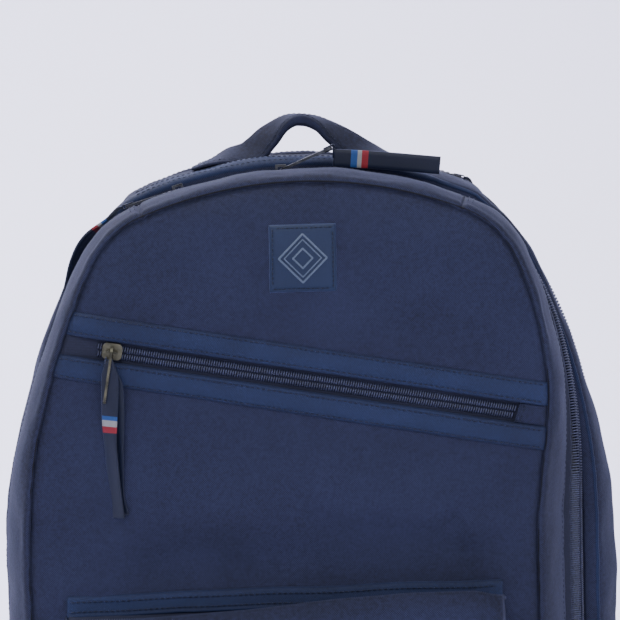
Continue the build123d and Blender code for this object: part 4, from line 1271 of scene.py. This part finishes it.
def slant_ribbon():
    """Two tails hanging from the slot of the edge-on plate, the stripes on the front one."""
    body = "slant_pull_body"
    lo, hi = low("slant_ribbon"), high("slant_ribbon")
    top = Vector((lo.x + 3.4, lo.y + 0.4, hi.z + 0.8))
    keys = [(top.x - 3.0, lo.y + 1.6, hi.z - 2), (top.x - 2.0, lo.y + 0.4, hi.z + 1.2),
            (top.x - 1.2, lo.y - 0.7, hi.z - 1.6), (top.x - 1.6, lo.y - 0.9, 300),
            (top.x - 2.4, lo.y - 0.6, 280), (top.x - 1.2, lo.y - 0.9, 255),
            (top.x + 0.6, lo.y - 0.5, lo.z + 5)]
    path = [Vector(p) for p in smooth(keys, 80)]
    turns = np.interp(np.arange(80), [0, 6, 16, 44, 79], [1.0, 0.5, 0.1, 0.75, 0.7])
    sides = [Vector((cos(t), -sin(t), 0.0)) for t in turns]
    widths = np.interp(np.arange(80), [0, 5, 10, 79], [3.0, 6.0, 9.6, 9.8])
    ribbon("slant_ribbon_front", body, "slant_ribbon", path, sides, widths, 34.0, 0.4)
    keys = [(top.x - 3.0, lo.y + 2.0, hi.z - 3), (top.x + 0.2, lo.y + 1.4, hi.z - 6),
            (top.x + 1.2, lo.y + 1.6, 296), (top.x + 0.8, lo.y + 1.2, 270),
            (top.x + 0.2, lo.y + 1.5, 246), (top.x + 2.6, lo.y + 1.3, lo.z + 6)]
    path = [Vector(p) for p in smooth(keys, 80)]
    sides = [Vector((cos(t * 0.8), -sin(t * 0.8), 0.0)) for t in turns]
    ribbon("slant_ribbon_rear", body, "slant_ribbon", path, sides, widths, None, 0.4)


slant_ribbon()


def pocket_ribbon():
    body = "pocket_pull_body"
    x0 = (low("pocket_slider").x + high("pocket_slider").x) / 2
    hole = ZIP3_MIDDLE + Vector((x0 - PIN_INSET, 0, 0)) + ZIP3_UP * PIN_HEIGHT
    out = Vector((-1, 0, 0))
    neck("pocket_neck", body, hole, out, ZIP3_ACROSS, ZIP3_UP)
    tip = hole + out * (PLATE + 0.8)
    path = [tip + out * t + ZIP3_UP * (0.5 * sin(t / 9.0)) for t in np.linspace(0, 61, 50)]
    widths = np.interp(np.arange(50), [0, 2, 5, 49], [2.4, 4.0, 9.6, 10.0])
    ribbon("pocket_ribbon_cloth", body, "pocket_ribbon", path, [ZIP3_ACROSS] * 50, widths, 18.0)


pocket_ribbon()


# ---- back: padded straps ----
SPLAY = radians(9.0)
PAD_RINGS, PAD_SIDES = 74, 32
PAD_STITCH = 27.0 * 0.9      # from the pad's middle to its stitch rows
PAD_KEYS = [(71.5, -1.5), (86.0, -6.5), (96.0, -24.0), (106.0, -62.0), (114.0, -110.0), (114.6, -152.0),
            (107.5, -200.0), (98.4, -250.5)]


def strap_point(sign, across, y, z):
    """From a strap's own frame: across it, depth, and height below its top."""
    return Vector((sign * (45.0 - z * sin(SPLAY)) + across * cos(SPLAY), y,
                   398.0 + z * cos(SPLAY) + sign * across * sin(SPLAY)))


def strap_rows(keys, count):
    """Middle line of a strap in its own frame, with the direction out of its outer face."""
    line = smooth(keys, count)
    out = []
    for i in range(count):
        y1, z1 = line[min(i + 1, count - 1)]
        y0, z0 = line[max(i - 1, 0)]
        ahead = Vector((y1 - y0, z1 - z0)).normalized()
        out.append((line[i], Vector((-ahead.y, ahead.x))))
    return out


def settle(obj, pins, pressure, cap_mm):
    """Lets a closed piece fill out by cloth simulation, then keeps its shape."""
    mesh = obj.data
    start = np.array([v.co[:] for v in mesh.vertices])
    group = obj.vertex_groups.new(name="pins")
    group.add(pins, 1.0, "REPLACE")
    sim = obj.modifiers.new("fill", "CLOTH")
    sim.settings.quality = 6
    sim.settings.mass = 0.25
    sim.settings.tension_stiffness = sim.settings.compression_stiffness = 12
    sim.settings.bending_stiffness = 2.0
    sim.settings.use_pressure = True
    sim.settings.uniform_pressure_force = pressure
    sim.settings.vertex_group_mass = "pins"
    sim.settings.effector_weights.gravity = 0.0
    sim.point_cache.frame_start, sim.point_cache.frame_end = 1, 20
    scene = bpy.context.scene
    for number in range(1, 21):
        scene.frame_set(number)
    filled = obj.evaluated_get(bpy.context.evaluated_depsgraph_get())
    end = np.array([v.co[:] for v in filled.data.vertices])
    obj.modifiers.remove(sim)
    obj.vertex_groups.clear()
    scene.frame_set(1)
    if end.shape != start.shape or not np.isfinite(end).all():
        return
    move = end - start
    far = np.linalg.norm(move, axis=1, keepdims=True)
    move *= np.minimum(1.0, cap_mm * MM / np.maximum(far, 1e-9))
    for v, p in zip(mesh.vertices, start + move):
        v.co = p
    mesh.update()


def shoulder_pad(sign, name):
    rows = strap_rows(PAD_KEYS, PAD_RINGS)
    verts, pins = [], []
    for i, ((y, z), face) in enumerate(rows):
        end = min(1.0, min(i, PAD_RINGS - 1 - i) / 3.0)
        half = 29.4 * (0.93 + 0.07 * end)
        thick = 4.3 * (0.45 + 0.55 * end)
        for k in range(PAD_SIDES):
            t = 2 * pi * k / PAD_SIDES
            a = abs(cos(t)) ** 0.6 * (1 if cos(t) > 0 else -1) * half
            b = abs(sin(t)) ** 0.75 * (1 if sin(t) > 0 else -1) * thick
            if abs(a) > half * 0.95 or i in (0, PAD_RINGS - 1):
                pins.append(len(verts))
            verts.append(strap_point(sign, a, y + face.x * b, z + face.y * b))
    faces = grid_faces(PAD_RINGS, PAD_SIDES, True)
    faces += [tuple(range(PAD_SIDES - 1, -1, -1)),
              tuple(range((PAD_RINGS - 1) * PAD_SIDES, PAD_RINGS * PAD_SIDES))]
    pad = make(f"shoulder_pad_{name}_cloth", verts, faces, MESH, slot="back_mesh",
               node=f"shoulder_pad_{name}")
    settle(pad, pins, 3.0, 1.6)
    pad.modifiers.new("finer", "SUBSURF").levels = 1
    binding, thread = Bundle(), Bundle()
    for edge in (-1, 1):
        path = [strap_point(sign, edge * 29.2, y, z) for (y, z), _ in rows]
        binding.add(tube(path, 2.3, 10, 1.0, [Vector((0, f.x, f.y)) for _, f in rows]))
        path = [strap_point(sign, edge * PAD_STITCH, y + f.x * 5.0, z + f.y * 5.0) for (y, z), f in rows]
        fine = [Vector(p) for p in smooth([tuple(p) for p in path], 190)]
        stitches(thread, fine, [Vector((0, 1, 0))] * 190, 3.2, 2.2, 0.3)
    binding.make(f"shoulder_pad_{name}_binding", BINDING, slot="webbing")
    thread.make(f"shoulder_pad_{name}_stitches", THREAD, slot="webbing")
    ring = []
    for (y, z), f in rows[26:]:
        ring.append([strap_point(sign, a, y + f.x * b, z + f.y * b)
                     for a, b in ((-12.5, 4.4), (-12.3, 6.0), (-4, 6.25), (4, 6.25), (12.3, 6.0),
                                  (12.5, 4.4))])
    webbing = Bundle()
    webbing.add(ring)
    webbing.make(f"shoulder_pad_{name}_webbing", WEBBING, slot="webbing")


LOCK_TOP, ANCHOR = (93.1, -266.0), (71.6, -366.0)
LOCK_RUN = hypot(LOCK_TOP[0] - ANCHOR[0], LOCK_TOP[1] - ANCHOR[1])
LOCK_LEAN = atan2(LOCK_TOP[0] - ANCHOR[0], LOCK_TOP[1] - ANCHOR[1])


def lock_point(sign, across, out, up):
    """From an adjuster's frame: across it, out of its face, and up along the strap."""
    y = LOCK_TOP[0] + out * cos(LOCK_LEAN) + up * sin(LOCK_LEAN)
    z = LOCK_TOP[1] - out * sin(LOCK_LEAN) + up * cos(LOCK_LEAN)
    return strap_point(sign, across, y, z)


def webbing_band(name, sign, keys, node=(), half=12.5, thick=0.8, count=60, body=BAG):
    line = smooth(keys, count)
    section = [(-half, 0), (-half + 0.5, thick), (half - 0.5, thick), (half, 0), (half - 0.5, -thick),
               (-half + 0.5, -thick)]
    rings = []
    for i in range(count):
        o1, u1 = line[min(i + 1, count - 1)]
        o0, u0 = line[max(i - 1, 0)]
        ahead = Vector((o1 - o0, u1 - u0)).normalized()
        face = Vector((-ahead.y, ahead.x))
        rings.append([lock_point(sign, a, line[i][0] + face.x * b, line[i][1] + face.y * b)
                      for a, b in section])
    strap = Bundle()
    strap.add(rings)
    return strap.make(name, WEBBING, body=body, slot="webbing", node=node)


def lower_strap(sign, name):
    webbing_band(f"lock_loop_{name}_webbing", sign,
                 [(2.6, 17), (2.4, 8), (2.3, 1), (0.6, -2.4), (-1.6, -1.8), (-2.4, 1), (-2.5, 8), (-2.6, 17)],
                 f"lock_loop_{name}", 12.3, 0.6)
    main = webbing_band(f"lower_webbing_{name}_strap", sign,
                        [(-1.0, -LOCK_RUN + 3), (-2.2, -LOCK_RUN + 16), (-3.3, -LOCK_RUN + 50),
                         (-3.3, -40), (-3.0, -22),
                         (-2.7, -17.5), (0, -16.4), (2.7, -17.5), (3.0, -22), (-3.2, -29.5), (-5.2, -36),
                         (-5.4, -LOCK_RUN + 60), (-5.4, -LOCK_RUN + 30)],
                        f"lower_webbing_{name}", count=110, body=None)
    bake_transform(main)


def anchor_tab(sign, name):
    corners = [(82, 14), (126, 14), (126, 30), (108, 50), (92, 46)]
    centre = Vector((105, 30))
    rows = []
    for inset in (0.0, 0.02, 0.06, 0.12, 0.16, 0.3, 0.6, 0.98):
        row = []
        for (x0, z0), (x1, z1) in zip(corners, corners[1:] + corners[:1]):
            for t in np.linspace(0, 1, 12, endpoint=False):
                p = Vector((x0 + (x1 - x0) * t, z0 + (z1 - z0) * t))
                p = p + (centre - p) * inset
                lift = 0.3 + 2.0 * (1 - exp(-inset / 0.03)) - 0.5 * exp(-((inset - 0.12) / 0.02) ** 2)
                row.append(Vector((sign * p.x, BACK_Y + 2.2 + lift, p.y)))
        rows.append(row)
    sheet_piece(f"anchor_tab_{name}_cloth", rows, CANVAS_SIDE, 0.6, closed=True, node=f"anchor_tab_{name}")
    thread = Bundle()
    for (x0, z0), (x1, z1) in zip(corners, corners[1:] + corners[:1]):
        path = []
        for t in np.linspace(0.02, 0.98, 24):
            p = Vector((x0 + (x1 - x0) * t, z0 + (z1 - z0) * t))
            p = p + (centre - p) * 0.12
            path.append(Vector((sign * p.x, BACK_Y + 4.3, p.y)))
        stitches(thread, path, [Vector((0, 1, 0))] * 24)
    thread.make(f"anchor_tab_{name}_stitches", THREAD)


YOKE_LOW, YOKE_HEIGHT = 372, 26


def pad_hump(x):
    """How far the yoke is pushed out by the pads' ends under it."""
    return 1.5 * sum(exp(-((x - c) / 26.0) ** 2) for c in (-45, 45))


def yoke():
    """Patch over the tops of the straps, with sewn edges."""
    rows = []
    for t in np.linspace(0, 1, 26):
        z = YOKE_LOW + YOKE_HEIGHT * t
        half = 86 - 14 * t
        row = []
        for s in np.linspace(-1, 1, 120):
            x = s * half
            edge = min(t * YOKE_HEIGHT, (1 - t) * YOKE_HEIGHT, half - abs(x))
            lift = 2.6 * (1 - exp(-edge / 0.8)) + pad_hump(x) * t - 0.5 * exp(-((edge - 2.6) / 0.6) ** 2)
            lift += waves((x, 0, z), 14.0, 0.4)
            row.append(Vector((x, BACK_Y + 1.6 + lift, z)))
        rows.append(row)
    sheet_piece("strap_yoke_cloth", rows, CANVAS_SIDE, 1.2, node="strap_yoke")
    thread = Bundle()
    for z, half in ((374.6, 82), (395.4, 71)):
        path = [Vector((x, BACK_Y + 4.5 + pad_hump(x) * (z - YOKE_LOW) / YOKE_HEIGHT, z))
                for x in np.linspace(-half, half, 140)]
        stitches(thread, path, [Vector((0, 1, 0))] * 140)
    thread.make("strap_yoke_stitches", THREAD)


yoke()
for sign, name in ((-1, "left"), (1, "right")):
    shoulder_pad(sign, name)
    lower_strap(sign, name)
    anchor_tab(sign, name)


# ---- inside ----
LINING = cloth("lining", srgb(60, 62, 74), srgb(96, 98, 112), 0.6, 0.9, 0.1, 0.7, 0.3)
FOAM = plastic("foam", srgb(120, 122, 128), srgb(156, 158, 162), 0.9, 1.2)


def inner_sheet(node, y, thick, inset, material, slot):
    """Sheet across the bag at depth y, inset from its skin, with sewn channels."""
    line = np.array([tuple(wall(d, bulge_at(y), y))[0::2] for d in np.linspace(0, RUN_TO_TUB, 300)])
    top = line[0, 1] - inset - 1.5
    rows = []
    for z in np.linspace(4.0, top, 90):
        half = float(np.interp(-z, -line[:, 1], line[:, 0])) - inset
        if z < BASE_RADIUS + 4:
            half -= BASE_RADIUS - sqrt(max(0.0, BASE_RADIUS ** 2 - (BASE_RADIUS + 4 - z) ** 2))
        depth = min(1.0, (top - z) / 12.0 + 0.15)
        rows.append([Vector((s * max(2.0, half), y - 0.8 * depth * abs(sin(pi * s * half / 40.0)) ** 0.4
                             + waves((s * half, y, z), 20.0, 0.4), z)) for s in np.linspace(-1, 1, 70)])
    sheet_piece(f"{node}_cloth", rows, material, thick, slot=slot, node=node)


def lining_ring():
    rows = [[skin_point(d, y, -3.6) for y in np.linspace(FRONT_Y + 5, ZIP1_Y[0] - 3, 14)]
            for d in steps(-RUN_TO_TUB, RUN_TO_TUB, 4.0)]
    sheet_piece("main_lining_cloth", rows, LINING, 0.5, slot="lining", node="main_lining")


inner_sheet("laptop_divider", 11.0, 3.4, 5.0, FOAM, "foam")
inner_sheet("back_foam", 59.0, 5.0, 5.0, FOAM, "foam")
lining_ring()

# ---- CAD pieces that stay ----
for node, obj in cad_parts.items():
    finish = None
    if node.endswith("_blade"):
        finish = OLIVE_METAL if node == "slant_blade" else GUNMETAL
    elif node.endswith("_slider"):
        finish = OLIVE_METAL if node == "slant_slider" else SLIDER_METAL
    elif node.startswith("ladder_lock"):
        finish = BUCKLE
    elif node == "slant_pocket_bag":
        finish = LINING
    if finish:
        for place in obj.material_slots:
            place.material = finish
